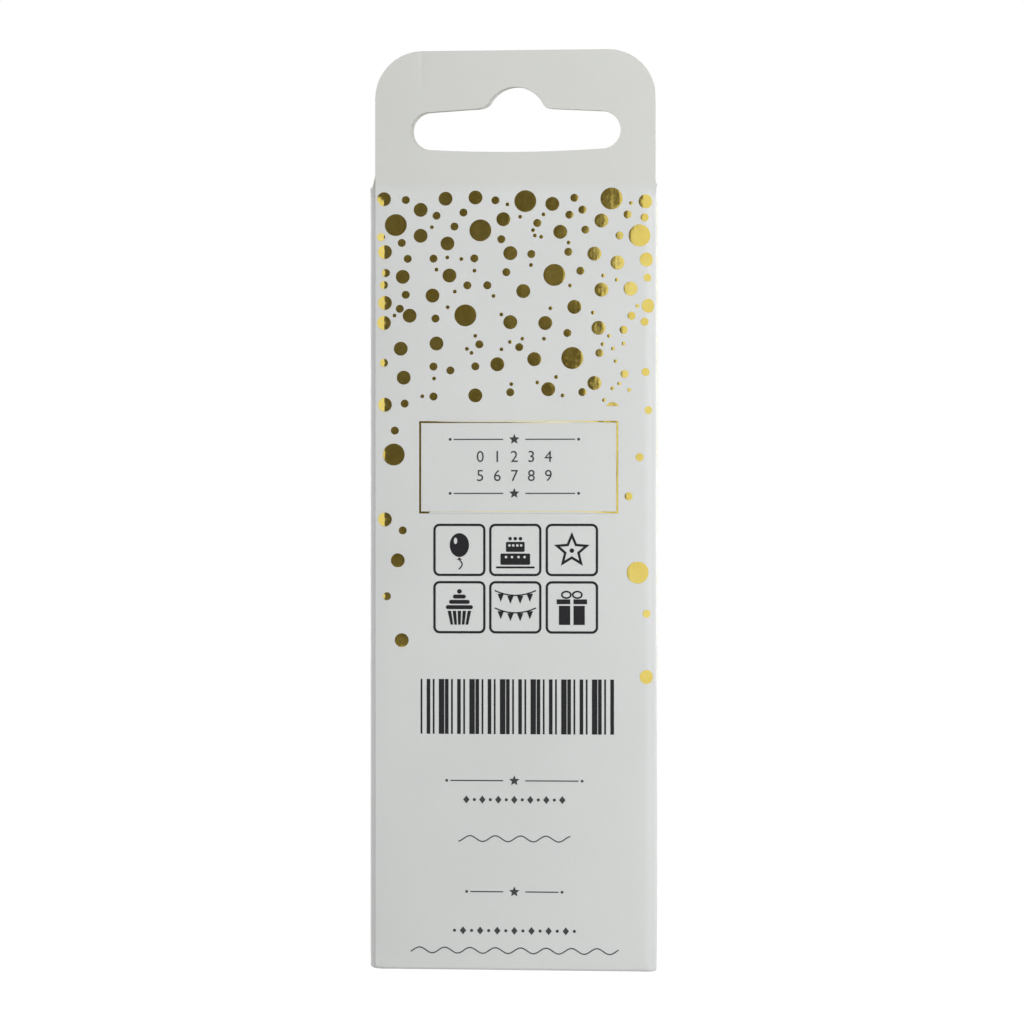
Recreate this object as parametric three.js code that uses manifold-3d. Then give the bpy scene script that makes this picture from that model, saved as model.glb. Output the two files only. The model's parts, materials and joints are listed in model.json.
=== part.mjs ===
// A packed number candle: a folded paperboard hanging carton with a double hang tab, tuck flaps at
// both ends, a clear window, a folded card insert, and a wax numeral with its wick and plastic pick.
// Millimetres. X runs across the carton, Y from its plain back panel to its window, Z upwards.
// The origin is the middle of the carton's base.

import * as THREE from "three";
import { mergeVertices } from "three/addons/utils/BufferGeometryUtils.js";
import Module from "manifold-3d";

const wasm = await Module();
wasm.setup();

// Carton sleeve
const cartonWidth = 44.6;
const cartonDepth = 18;
const cartonHeight = 121.4;
const board = 0.4; // thickness of the paperboard
const foldRadius = 2; // outside radius of the four upright folds

// Hang tab and its slot
const tabHeight = 21;
const tabInset = 0.6; // each side edge of the tab, and the back panel's cut edge, from the sleeve's side
const tabCornerRadius = 6.8;
const tabFlareHeight = 3.4; // over this height the tab widens to meet the sleeve
const innerTabInset = 0.2; // the inner ply's side edges, from the outer ply's
const cutCornerRadius = 1.2; // at the foot of the back panel's cut edge
const slotCentreRise = 8.6; // above the top of the sleeve
const slotWidth = 32.6;
const slotEndHeight = 5.9;
const slotMidHeight = 6.7;
const humpRadius = 4.8;
const humpRise = 6.75; // top of the hump above the slot's centre line
const humpFootLeft = 2.4;
const humpFootRight = 1;
const humpFootAngle = Math.PI / 6;
const plyShift = 0.4; // the inner ply is glued this far to the right

// Window
const windowSideMargin = 6.8;
const windowTopMargin = 15.4;
const windowCornerRadius = 6;
const filmThickness = 0.2;
const filmLap = 4; // glued border of the film around the window

// End closures
const tuckHeight = 7.5;
const tuckCornerRadius = 4;
const tuckSideClearance = 0.9;
const lidSideClearance = 0.4;
const lidEndClearance = 0.3;
const swingClearance = 0.25; // between a swinging tuck flap and the wall behind it
const creaseGap = 0.35; // between a lid's underside and the tuck flap's crease
const closureGap = 0.1; // between boards that lie on each other or meet at a crease
const dustLength = 13;
const dustTipRadius = 3;
const dustSideClearance = 0.3;
const dustReliefLength = 4; // the root corner beside the plain wall is cut back over this length

// Insert card
const card = 0.4; // thickness of the insert's card
const insertClearance = 0.3;
const insertEndClearance = 0.5; // beyond the reach of a dust flap folded inwards
const wickHoleRadius = 2.2;

// Candle
const numeralStroke = 10; // width of the numeral's stroke
const upperBowlRadius = 11; // to the middle of the stroke
const lowerBowlRadius = 13;
const numeralThickness = 8;
const numeralBevel = 1.2;
const numeralFootTrim = 0.6; // flat foot cut from the bottom of the lower bowl
const numeralHeadroom = 0.6; // below the upper shelf
const candleY = -1; // the candle stands this far behind the carton's middle
const bowlEndAngle = THREE.MathUtils.degToRad(152); // end of the free stroke, from the right-hand side
const waistEndAngle = THREE.MathUtils.degToRad(104); // end of the stroke at the waist

// Wick
const wickRadius = 0.8;
const wickAbove = 8.5;
const wickInside = 10;
const fitGap = 0.3; // around the wick and the tang in the wax

// Pick
const flangeWidth = 10;
const flangeDepth = 6;
const flangeThickness = 1.2;
const tangWidth = 4;
const tangDepth = 2;
const tangHeight = 8;
const bladeWidth = 5;
const bladeThickness = 1.6;
const bladeLength = 38;
const bladeTipLength = 11;
const bladePointWidth = 1;
const ribDepth = 4;
const ribThickness = 1.2;
const ribEndRise = 9; // above the pick's point
const pickHoleClearance = 0.4;

const arcSteps = 8;

// Places that several pieces share
const halfWidth = cartonWidth / 2;
const halfDepth = cartonDepth / 2;
const foldStartX = halfWidth - foldRadius; // the front and back panels are flat up to here
const innerBackY = -halfDepth + 2 * board; // inside face of the glued fifth panel
const innerFrontY = halfDepth - board;
const tabTop = cartonHeight + tabHeight;
const tabHalfWidth = halfWidth - tabInset;
const slotZ = cartonHeight + slotCentreRise;
const dustTopZ = cartonHeight - board - closureGap;
const dustBottomZ = dustTopZ - board; // also the height of the dust flaps' creases
const insertTop = dustBottomZ - dustLength - insertEndClearance;
const insertBottom = cartonHeight - insertTop;
const insertHalfWidth = foldStartX - insertClearance;
const insertFrontY = innerFrontY - filmThickness - insertClearance;
const numeralHeight = 2 * (upperBowlRadius + lowerBowlRadius) + numeralStroke - numeralFootTrim;
const numeralTop = insertTop - card - numeralHeadroom;
const numeralBottom = numeralTop - numeralHeight;
const shelfTop = numeralBottom - flangeThickness;
const windowTop = cartonHeight - windowTopMargin;
const windowBottom = shelfTop;
const windowHalfWidth = halfWidth - windowSideMargin;
const windowMiddle = (windowTop + windowBottom) / 2;
const windowHeight = windowTop - windowBottom;

const white = 0xd6d8d7;
const greyBoard = 0xc8c7c1;
const materials = {
  print: () => new THREE.MeshStandardMaterial({ color: white, roughness: 0.45, metalness: 0 }),
  liner: () => new THREE.MeshStandardMaterial({ color: greyBoard, roughness: 0.8, metalness: 0 }),
  card: () => new THREE.MeshStandardMaterial({ color: 0xe9e8e4, roughness: 0.7, metalness: 0 }),
  film: () =>
    new THREE.MeshStandardMaterial({
      color: 0xf4f7f8,
      roughness: 0.05,
      metalness: 0,
      transparent: true,
      opacity: 0.3,
    }),
  wax: () => new THREE.MeshStandardMaterial({ color: 0xc9a24a, roughness: 0.3, metalness: 0.7 }),
  wick: () => new THREE.MeshStandardMaterial({ color: 0xf1efe6, roughness: 0.9, metalness: 0 }),
  pick: () => new THREE.MeshStandardMaterial({ color: 0xf3f3f1, roughness: 0.35, metalness: 0 }),
};

// Turns drawn outlines into solids. A plate is drawn as seen from the back, from above or from the window.
const asDrawnInXZ = new THREE.Matrix4().makeBasis(
  new THREE.Vector3(1, 0, 0),
  new THREE.Vector3(0, 0, 1),
  new THREE.Vector3(0, -1, 0),
);
const asDrawnInYZ = new THREE.Matrix4().makeBasis(
  new THREE.Vector3(0, 1, 0),
  new THREE.Vector3(0, 0, 1),
  new THREE.Vector3(1, 0, 0),
);
const asSeenFromWindow = new THREE.Matrix4().makeBasis(
  new THREE.Vector3(-1, 0, 0),
  new THREE.Vector3(0, 0, 1),
  new THREE.Vector3(0, 1, 0),
);

function extruded(shape, depth) {
  return new THREE.ExtrudeGeometry(shape, { depth, bevelEnabled: false, curveSegments: arcSteps });
}

function uprightPlate(shape, backFaceY, thickness) {
  const plate = extruded(shape, thickness).applyMatrix4(asDrawnInXZ);
  return plate.translate(0, backFaceY + thickness, 0);
}

function levelPlate(shape, bottomZ, thickness) {
  return extruded(shape, thickness).translate(0, 0, bottomZ);
}

function box(width, depth, height, x, y, bottomZ) {
  return new THREE.BoxGeometry(width, depth, height).translate(x, y, bottomZ + height / 2);
}

function rectangle(x0, y0, x1, y1) {
  return new THREE.Shape([
    new THREE.Vector2(x0, y0),
    new THREE.Vector2(x1, y0),
    new THREE.Vector2(x1, y1),
    new THREE.Vector2(x0, y1),
  ]);
}

function roundedRectangle(x0, y0, x1, y1, radius) {
  const shape = new THREE.Shape();
  shape.moveTo(x0 + radius, y0);
  shape.lineTo(x1 - radius, y0);
  shape.absarc(x1 - radius, y0 + radius, radius, -Math.PI / 2, 0, false);
  shape.lineTo(x1, y1 - radius);
  shape.absarc(x1 - radius, y1 - radius, radius, 0, Math.PI / 2, false);
  shape.lineTo(x0 + radius, y1);
  shape.absarc(x0 + radius, y1 - radius, radius, Math.PI / 2, Math.PI, false);
  shape.lineTo(x0, y0 + radius);
  shape.absarc(x0 + radius, y0 + radius, radius, Math.PI, 1.5 * Math.PI, false);
  return shape;
}

function toSolid(geometry) {
  const bare = geometry.clone();
  bare.deleteAttribute("normal");
  bare.deleteAttribute("uv");
  const merged = mergeVertices(bare);
  return new wasm.Manifold(
    new wasm.Mesh({
      numProp: 3,
      vertProperties: Float32Array.from(merged.attributes.position.array),
      triVerts: Uint32Array.from(merged.index.array),
    }),
  );
}

function toGeometry(solid) {
  const mesh = solid.getMesh();
  const geometry = new THREE.BufferGeometry();
  geometry.setAttribute("position", new THREE.BufferAttribute(mesh.vertProperties, 3));
  geometry.setIndex(new THREE.BufferAttribute(mesh.triVerts, 1));
  geometry.computeVertexNormals();
  return geometry;
}

function piece(name, geometry, material) {
  const mesh = new THREE.Mesh(geometry, material);
  mesh.name = name;
  return mesh;
}

// The hanging slot: a long round-ended slot, a little taller in its middle, with a round hump.
function hangSlot(centreX) {
  const endRadius = slotEndHeight / 2;
  const endX = slotWidth / 2 - endRadius;
  const midRise = slotMidHeight / 2;
  const humpZ = slotZ + humpRise - humpRadius;
  const footX = Math.sqrt(humpRadius ** 2 - (midRise - humpRise + humpRadius) ** 2);
  const humpFootX = humpRadius * Math.cos(humpFootAngle);
  const humpFootZ = humpZ + humpRadius * Math.sin(humpFootAngle);
  const slot = new THREE.Path();
  slot.moveTo(centreX - endX, slotZ - endRadius);
  slot.quadraticCurveTo(centreX, slotZ + endRadius - slotMidHeight, centreX + endX, slotZ - endRadius);
  slot.absarc(centreX + endX, slotZ, endRadius, -Math.PI / 2, Math.PI / 2, false);
  slot.lineTo(centreX + footX + humpFootRight, slotZ + midRise);
  slot.quadraticCurveTo(centreX + footX, slotZ + midRise, centreX + humpFootX, humpFootZ);
  slot.absarc(centreX, humpZ, humpRadius, humpFootAngle, Math.PI - humpFootAngle, false);
  slot.quadraticCurveTo(
    centreX - footX,
    slotZ + midRise,
    centreX - footX - humpFootLeft,
    slotZ + midRise,
  );
  slot.lineTo(centreX - endX, slotZ + endRadius);
  slot.absarc(centreX - endX, slotZ, endRadius, Math.PI / 2, 1.5 * Math.PI, false);
  return slot;
}

// Outer back panel: a cut edge on the left, the fold on the right, and the outer ply of the hang tab.
function backPanel() {
  const tabX = tabHalfWidth;
  const cornerZ = tabTop - tabCornerRadius;
  const outline = new THREE.Shape();
  outline.moveTo(-tabX + cutCornerRadius, 0);
  outline.lineTo(foldStartX, 0);
  outline.lineTo(foldStartX, cartonHeight);
  outline.lineTo(halfWidth - closureGap, cartonHeight);
  outline.quadraticCurveTo(tabX, cartonHeight, tabX, cartonHeight + tabFlareHeight / 2);
  outline.lineTo(tabX, cornerZ);
  outline.absarc(tabX - tabCornerRadius, cornerZ, tabCornerRadius, 0, Math.PI / 2, false);
  outline.absarc(-tabX + tabCornerRadius, cornerZ, tabCornerRadius, Math.PI / 2, Math.PI, false);
  outline.lineTo(-tabX, cutCornerRadius);
  outline.absarc(
    -tabX + cutCornerRadius,
    cutCornerRadius,
    cutCornerRadius,
    Math.PI,
    1.5 * Math.PI,
    false,
  );
  outline.holes.push(hangSlot(0));
  return uprightPlate(outline, -halfDepth, board);
}

// Fifth panel: glued inside the back panel, folded from the left side panel, with the tab's inner ply.
function fifthPanel() {
  const tabX = tabHalfWidth - innerTabInset;
  const cornerZ = tabTop - tabCornerRadius;
  const outline = new THREE.Shape();
  outline.moveTo(-foldStartX, board + closureGap);
  outline.lineTo(foldStartX - insertClearance, board + closureGap);
  outline.lineTo(foldStartX - insertClearance, cartonHeight);
  outline.lineTo(tabX, cartonHeight);
  outline.lineTo(tabX, cornerZ);
  outline.absarc(tabX - tabCornerRadius, cornerZ, tabCornerRadius, 0, Math.PI / 2, false);
  outline.absarc(-tabX + tabCornerRadius, cornerZ, tabCornerRadius, Math.PI / 2, Math.PI, false);
  outline.lineTo(-tabX, cartonHeight + tabFlareHeight);
  outline.quadraticCurveTo(
    -tabX,
    cartonHeight + tabFlareHeight / 2,
    -halfWidth + closureGap,
    cartonHeight,
  );
  outline.lineTo(-foldStartX, cartonHeight);
  outline.holes.push(hangSlot(plyShift));
  return uprightPlate(outline, -halfDepth + board, board);
}

// Side panel with its two upright folds. side is -1 on the left and 1 on the right. On the left the
// fold at the back leads to the fifth panel, which lies one board further in than the back panel.
function sidePanel(side) {
  const backY = -halfDepth + (side < 0 ? board : 0);
  const frontCentreY = halfDepth - foldRadius;
  const backCentreY = backY + foldRadius;
  const innerRadius = foldRadius - board;
  const section = new THREE.Shape();
  section.moveTo(foldStartX, backY);
  section.absarc(foldStartX, backCentreY, foldRadius, -Math.PI / 2, 0, false);
  section.absarc(foldStartX, frontCentreY, foldRadius, 0, Math.PI / 2, false);
  section.lineTo(foldStartX, halfDepth - board);
  section.absarc(foldStartX, frontCentreY, innerRadius, Math.PI / 2, 0, true);
  section.absarc(foldStartX, backCentreY, innerRadius, 0, -Math.PI / 2, true);
  const points = section.getPoints(arcSteps).map((point) => new THREE.Vector2(side * point.x, point.y));
  return levelPlate(new THREE.Shape(points), board, cartonHeight - 2 * board);
}

function frontPanel() {
  const outline = rectangle(-foldStartX, 0, foldStartX, cartonHeight);
  outline.holes.push(
    roundedRectangle(
      -windowHalfWidth,
      windowBottom,
      windowHalfWidth,
      windowTop,
      windowCornerRadius,
    ),
  );
  return uprightPlate(outline, innerFrontY, board);
}

function windowFilm() {
  const filmX = windowHalfWidth + filmLap;
  const filmHalfHeight = windowHeight / 2 + filmLap;
  const outline = rectangle(-filmX, windowMiddle - filmHalfHeight, filmX, windowMiddle + filmHalfHeight);
  return uprightPlate(outline, innerFrontY - filmThickness, filmThickness);
}

// One end closure, made as the top one: the lid is hinged on the panel at +Y and tucks in behind the
// panel at -Y. wallPlies is the number of boards in that panel.
function closureSizes(wallPlies) {
  const wallReach = cartonDepth - wallPlies * board; // from the lid's hinge line to the wall's inside
  const lidReach = wallReach - lidEndClearance;
  const creaseDrop = board + creaseGap;
  const swingReach = wallReach - swingClearance;
  // The lean at which the tuck flap's lower edge swings clear of the wall: the edge's distance from
  // the hinge line, (lidReach - tuckHeight sin a, creaseDrop + tuckHeight cos a), equals swingReach.
  const sineShare = 2 * lidReach * tuckHeight;
  const cosineShare = 2 * creaseDrop * tuckHeight;
  const excess = lidReach ** 2 + tuckHeight ** 2 + creaseDrop ** 2 - swingReach ** 2;
  const lean = Math.atan2(cosineShare, sineShare) + Math.asin(excess / Math.hypot(sineShare, cosineShare));
  const creaseY = halfDepth - lidReach;
  const creaseZ = cartonHeight - creaseDrop;
  // Shortest distance from the hinge line to the tuck flap's inside face
  const tuckInsideReach = lidReach * Math.cos(lean) + creaseDrop * Math.sin(lean) - board;
  return { lidReach, lean, creaseY, creaseZ, tuckInsideReach };
}

function lid(closure) {
  const sideX = halfWidth - lidSideClearance;
  const hingeX = foldStartX - lidSideClearance;
  const outline = new THREE.Shape();
  outline.moveTo(-sideX, closure.creaseY);
  outline.lineTo(sideX, closure.creaseY);
  outline.lineTo(sideX, innerFrontY - foldRadius);
  outline.quadraticCurveTo(sideX, innerFrontY, hingeX, innerFrontY);
  outline.lineTo(-hingeX, innerFrontY);
  outline.quadraticCurveTo(-sideX, innerFrontY, -sideX, innerFrontY - foldRadius);
  return levelPlate(outline, cartonHeight - board, board);
}

// The tuck flap hangs from the lid's crease and leans inwards. Its origin is on the crease line.
function tuckFlap() {
  const sideX = halfWidth - board - tuckSideClearance;
  const outline = new THREE.Shape();
  outline.moveTo(sideX, 0);
  outline.lineTo(-sideX, 0);
  outline.lineTo(-sideX, tuckCornerRadius - tuckHeight);
  outline.absarc(
    -sideX + tuckCornerRadius,
    tuckCornerRadius - tuckHeight,
    tuckCornerRadius,
    Math.PI,
    1.5 * Math.PI,
    false,
  );
  outline.absarc(
    sideX - tuckCornerRadius,
    tuckCornerRadius - tuckHeight,
    tuckCornerRadius,
    1.5 * Math.PI,
    2 * Math.PI,
    false,
  );
  return uprightPlate(outline, 0, board);
}

// Dust flap, drawn from its crease inwards. Its edge beside the tuck flap tapers at the tuck flap's lean.
function dustFlap(closure, side) {
  const rootX = halfWidth - board - closureGap;
  const tipX = halfWidth - board - dustLength;
  const straightY = -innerBackY - dustSideClearance;
  const rootY = straightY - foldRadius + board;
  const tuckRootY = halfDepth - closure.tuckInsideReach + dustSideClearance;
  const tuckTipY = tuckRootY + (rootX - tipX) * Math.tan(closure.lean);
  const taperLength = Math.hypot(rootX - tipX, tuckTipY - tuckRootY);
  const taperX = ((rootX - tipX) / taperLength) * dustTipRadius;
  const taperY = ((tuckTipY - tuckRootY) / taperLength) * dustTipRadius;
  const outline = new THREE.Shape();
  outline.moveTo(rootX, tuckRootY);
  outline.lineTo(rootX, rootY);
  outline.lineTo(rootX - dustReliefLength, straightY);
  outline.lineTo(tipX + dustTipRadius, straightY);
  outline.quadraticCurveTo(tipX, straightY, tipX, straightY - dustTipRadius);
  outline.lineTo(tipX, tuckTipY + dustTipRadius);
  outline.quadraticCurveTo(tipX, tuckTipY, tipX + taperX, tuckTipY - taperY);
  const points = outline.getPoints(arcSteps).map((point) => new THREE.Vector2(side * point.x, point.y));
  return levelPlate(new THREE.Shape(points), dustBottomZ, board);
}

function closureGroup(end, wallPlies) {
  const closure = closureSizes(wallPlies);
  const group = new THREE.Group();
  group.add(piece(`${end}_lid`, lid(closure), materials.print()));
  const tuck = piece(`${end}_tuck_flap`, tuckFlap(), materials.print());
  tuck.position.set(0, closure.creaseY, closure.creaseZ);
  tuck.rotation.x = closure.lean;
  group.add(tuck);
  group.add(piece(`${end}_dust_flap_left`, dustFlap(closure, -1), materials.liner()));
  group.add(piece(`${end}_dust_flap_right`, dustFlap(closure, 1), materials.liner()));
  return group;
}

// Insert: one strip of card folded into an upper shelf, a back, a lower shelf and a front apron.
function insertCard() {
  const apronY = insertFrontY - card;
  const backInsideY = innerBackY + card;
  const corners = [
    [insertFrontY, insertTop],
    [innerBackY, insertTop],
    [innerBackY, shelfTop - card],
    [apronY, shelfTop - card],
    [apronY, insertBottom],
    [insertFrontY, insertBottom],
    [insertFrontY, shelfTop],
    [backInsideY, shelfTop],
    [backInsideY, insertTop - card],
    [insertFrontY, insertTop - card],
  ];
  const outline = new THREE.Shape(corners.map(([y, z]) => new THREE.Vector2(y, z)));
  const strip = extruded(outline, 2 * insertHalfWidth).applyMatrix4(asDrawnInYZ);
  strip.translate(-insertHalfWidth, 0, 0);
  const wickHole = new THREE.CylinderGeometry(wickHoleRadius, wickHoleRadius, 4 * card, 2 * arcSteps);
  wickHole.rotateX(Math.PI / 2).translate(0, candleY, insertTop);
  const pickHole = box(
    bladeWidth + 2 * pickHoleClearance,
    ribDepth + 2 * pickHoleClearance,
    4 * card,
    0,
    candleY,
    shelfTop - 2 * card,
  );
  return toGeometry(toSolid(strip).subtract(toSolid(wickHole)).subtract(toSolid(pickHole)));
}

// A stretch of the numeral's stroke: a round-ended arc about a bowl's centre.
function strokeArc(radius, centreZ, fromAngle, toAngle) {
  const half = numeralStroke / 2 - numeralBevel;
  const endPoint = (angle) => [radius * Math.cos(angle), radius * Math.sin(angle)];
  const [toX, toY] = endPoint(toAngle);
  const [fromX, fromY] = endPoint(fromAngle);
  const outline = new THREE.Shape();
  outline.absarc(0, 0, radius + half, fromAngle, toAngle, false);
  outline.absarc(toX, toY, half, toAngle, toAngle + Math.PI, false);
  outline.absarc(0, 0, radius - half, toAngle, fromAngle, true);
  outline.absarc(fromX, fromY, half, fromAngle + Math.PI, fromAngle + 2 * Math.PI, false);
  const stretch = new THREE.ExtrudeGeometry(outline, {
    depth: numeralThickness - 2 * numeralBevel,
    bevelEnabled: true,
    bevelThickness: numeralBevel,
    bevelSize: numeralBevel,
    bevelSegments: 3,
    curveSegments: 2 * arcSteps,
  });
  stretch.applyMatrix4(asSeenFromWindow);
  return stretch.translate(0, candleY - numeralThickness / 2 + numeralBevel, centreZ);
}

// The numeral is a 3, read from the window side.
function candleBody() {
  const lowerCentreZ = numeralBottom - numeralFootTrim + numeralStroke / 2 + lowerBowlRadius;
  const upperCentreZ = lowerCentreZ + lowerBowlRadius + upperBowlRadius;
  const lowerBowl = strokeArc(lowerBowlRadius, lowerCentreZ, -bowlEndAngle, waistEndAngle);
  const upperBowl = strokeArc(upperBowlRadius, upperCentreZ, -waistEndAngle, bowlEndAngle);
  const foot = box(
    2 * numeralStroke,
    2 * numeralThickness,
    numeralStroke,
    0,
    candleY,
    numeralBottom - numeralStroke,
  );
  const boreRadius = wickRadius + fitGap;
  const boreDepth = wickInside + fitGap;
  const wickBore = new THREE.CylinderGeometry(boreRadius, boreRadius, 2 * boreDepth, 2 * arcSteps);
  wickBore.rotateX(Math.PI / 2).translate(0, candleY, numeralTop);
  const tangSocket = box(
    tangWidth + 2 * fitGap,
    tangDepth + 2 * fitGap,
    2 * (tangHeight + fitGap),
    0,
    candleY,
    numeralBottom - tangHeight - fitGap,
  );
  const wax = toSolid(lowerBowl).add(toSolid(upperBowl));
  const cuts = [foot, wickBore, tangSocket].map(toSolid);
  return toGeometry(cuts.reduce((solid, cut) => solid.subtract(cut), wax));
}

function wick() {
  const length = wickInside + wickAbove;
  const cord = new THREE.CylinderGeometry(wickRadius, wickRadius, length, 2 * arcSteps);
  cord.deleteAttribute("uv");
  return cord.rotateX(Math.PI / 2).translate(0, candleY, numeralTop - wickInside + length / 2);
}

function pickOutline(width, bottomZ, tipZ) {
  const blade = new THREE.Shape();
  blade.moveTo(-width / 2, shelfTop);
  blade.lineTo(-width / 2, tipZ);
  blade.lineTo(-bladePointWidth / 2, bottomZ);
  blade.lineTo(bladePointWidth / 2, bottomZ);
  blade.lineTo(width / 2, tipZ);
  blade.lineTo(width / 2, shelfTop);
  return blade;
}

// Pick: a flange under the wax, a tang into it, and a ribbed blade that goes into a cake.
function pick() {
  const pointZ = shelfTop - bladeLength;
  const blade = uprightPlate(
    pickOutline(bladeWidth, pointZ, pointZ + bladeTipLength),
    candleY - bladeThickness / 2,
    bladeThickness,
  );
  const ribOutline = pickOutline(ribDepth, pointZ + ribEndRise, pointZ + ribEndRise + bladeTipLength);
  const rib = extruded(ribOutline, ribThickness).applyMatrix4(asDrawnInYZ);
  rib.translate(-ribThickness / 2, candleY, 0);
  const flange = box(flangeWidth, flangeDepth, flangeThickness, 0, candleY, shelfTop);
  const tang = box(tangWidth, tangDepth, tangHeight + flangeThickness, 0, candleY, shelfTop);
  const parts = [rib, flange, tang].map(toSolid);
  return toGeometry(parts.reduce((solid, part) => solid.add(part), toSolid(blade)));
}

function sleeve() {
  const group = new THREE.Group();
  group.add(piece("back_panel", backPanel(), materials.print()));
  group.add(piece("fifth_panel", fifthPanel(), materials.liner()));
  group.add(piece("left_side_panel", sidePanel(-1), materials.print()));
  group.add(piece("right_side_panel", sidePanel(1), materials.print()));
  group.add(piece("front_panel", frontPanel(), materials.print()));
  group.add(piece("window_film", windowFilm(), materials.film()));
  return group;
}

function contents() {
  const group = new THREE.Group();
  group.add(piece("insert_card", insertCard(), materials.card()));
  group.add(piece("candle_body", candleBody(), materials.wax()));
  group.add(piece("wick", wick(), materials.wick()));
  group.add(piece("pick", pick(), materials.pick()));
  return group;
}

// The bottom closure is the top one turned half round about X: it is hinged on the back panel.
const topClosure = closureGroup("top", 2);
const bottomClosure = closureGroup("bottom", 1);
bottomClosure.rotation.x = Math.PI;
bottomClosure.position.z = cartonHeight;

const candlePack = new THREE.Group();
candlePack.add(sleeve(), topClosure, bottomClosure, contents());

export default candlePack;
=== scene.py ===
"""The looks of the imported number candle: a folded paperboard hanging carton with foil confetti, a clear
window, a folded insert, and a gold wax numeral with its wick and pick.

Lengths are in millimetres in the frame of the CAD model, and turn into metres where a mesh is made.
Every board is drawn flat, as it is cut, and is then folded along a path.
"""

import cmath
import json
import math
import random
import bmesh
import bpy
import numpy as np
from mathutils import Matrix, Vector
from mathutils.geometry import delaunay_2d_cdt, tessellate_polygon

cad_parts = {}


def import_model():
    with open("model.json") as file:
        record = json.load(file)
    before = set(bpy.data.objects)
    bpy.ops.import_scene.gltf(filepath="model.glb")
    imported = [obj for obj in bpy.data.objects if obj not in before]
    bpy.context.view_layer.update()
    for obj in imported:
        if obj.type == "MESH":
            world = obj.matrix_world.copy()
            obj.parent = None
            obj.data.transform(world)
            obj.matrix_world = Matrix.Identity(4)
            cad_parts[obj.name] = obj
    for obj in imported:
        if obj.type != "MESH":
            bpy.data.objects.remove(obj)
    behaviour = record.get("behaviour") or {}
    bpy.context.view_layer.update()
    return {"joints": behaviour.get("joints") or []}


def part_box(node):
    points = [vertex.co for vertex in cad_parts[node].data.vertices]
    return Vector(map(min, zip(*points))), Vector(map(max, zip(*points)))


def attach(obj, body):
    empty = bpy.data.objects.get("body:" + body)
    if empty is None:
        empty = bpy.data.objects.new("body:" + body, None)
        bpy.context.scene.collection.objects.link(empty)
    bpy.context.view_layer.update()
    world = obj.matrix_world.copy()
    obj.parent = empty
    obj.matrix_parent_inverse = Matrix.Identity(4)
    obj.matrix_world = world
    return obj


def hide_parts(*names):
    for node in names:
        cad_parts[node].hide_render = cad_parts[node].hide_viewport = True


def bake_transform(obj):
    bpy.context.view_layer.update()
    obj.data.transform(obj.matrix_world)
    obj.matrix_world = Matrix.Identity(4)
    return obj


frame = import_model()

MM = 0.001
QUARTER = math.pi / 2
TURN = 4 * QUARTER


def box_mm(node):
    """The node's lowest and highest corners in millimetres."""
    low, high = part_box(node)
    return low / MM, high / MM


back_low, back_high = box_mm("back_panel")
fifth_low, fifth_high = box_mm("fifth_panel")
left_low, left_high = box_mm("left_side_panel")
right_low, right_high = box_mm("right_side_panel")
front_low, front_high = box_mm("front_panel")
film_low, film_high = box_mm("window_film")
_, lid_high = box_mm("top_lid")
_, dust_high = box_mm("top_dust_flap_right")
insert_low, insert_high = box_mm("insert_card")
numeral_low, numeral_high = box_mm("candle_body")
wick_low, wick_high = box_mm("wick")
pick_low, pick_high = box_mm("pick")

# Sleeve, from the frame
BOARD = front_high.y - front_low.y
HALF_WIDTH = right_high.x
HALF_DEPTH = front_high.y
HEIGHT = front_high.z
FOLD_START = right_low.x
FOLD_RADIUS = HALF_WIDTH - FOLD_START
TAB_TOP = back_high.z
TAB_HALF = -back_low.x
INNER_TAB_HALF = fifth_high.x
SIDE_TOP = right_high.z
SIDE_FOOT = right_low.z

# Sleeve, what the frame's boxes don't say
PLY = 0.38  # the board as drawn, a little thinner than its room, so that glued plies don't share a face
TAB_SHIFT = 0.42  # how far right of the carton's middle the outer ply and the tab are glued
CUT_EDGE = TAB_SHIFT - TAB_HALF
TAB_EASE = 1.8  # height below the tab over which the upright folds flatten into it
EDGE_CURL = 0.22  # how far the outer ply's cut edge bends in, over the curl's width
CURL_WIDTH = 1.35
CURL_RUN_OUT = 3.0
FOOT_ROLL = 0.4
LEFT_FOOT = 0.12  # height of the left fold's foot beside the back
LEFT_FOOT_RUN = 0.45  # of the fold's width, over which its foot slants
DENT_X = -14.1  # a faint dent down the tab
DENT_FOOT = 137.0
DENT_RUN = 2.0  # height over which the dent sets in
DENT_DEPTH = 0.07
DENT_WIDTH = 0.35
TAB_CORNER = 7.3
TAB_FLARE = 3.9  # height of the inner ply's flare at the tab's foot
FLARE_INSET = 0.52  # of that flare's foot from the carton's side
FLARE_POWER = 1.7
FLARE_STEPS = 8
OUTER_FLARE = TAB_FLARE / 4
TAB_TINT_FOOT = HEIGHT - 1  # the tab is a little warmer than the sleeve
TAB_TINT_TOP = HEIGHT + 0.6
CUT_CORNER = 1.2
SLOT_MIDDLE = TAB_SHIFT + 0.1
SLOT_RISE = 8.6
SLOT_WIDTH = 32.6
SLOT_END_HEIGHT = 5.9
SLOT_MID_HEIGHT = 6.7
HUMP_RADIUS = 4.8
HUMP_RISE = 6.75
HUMP_FOOT_LEFT = 2.4
HUMP_FOOT_RIGHT = 1.0
HUMP_FOOT_ANGLE = math.pi / 6
PLY_SHIFT = 0.4
BACK_BULGE = 0.32
FRONT_BULGE = 0.25
SIDE_BULGE = 0.08
CROWN_POWER = 4  # how flat-topped a bulge is across its panel
UPRIGHT_POWER = 8
FOOT_RUN = 0.15  # along the path, over which the edge steps from a wide panel to a side panel

# Window and film
WINDOW_CORNER = 6.0
FILM_LAP = 4.0
WINDOW_HALF = film_high.x - FILM_LAP
WINDOW_FOOT = film_low.z + FILM_LAP
WINDOW_TOP = film_high.z - FILM_LAP
FILM_SLACK = 0.02

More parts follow.
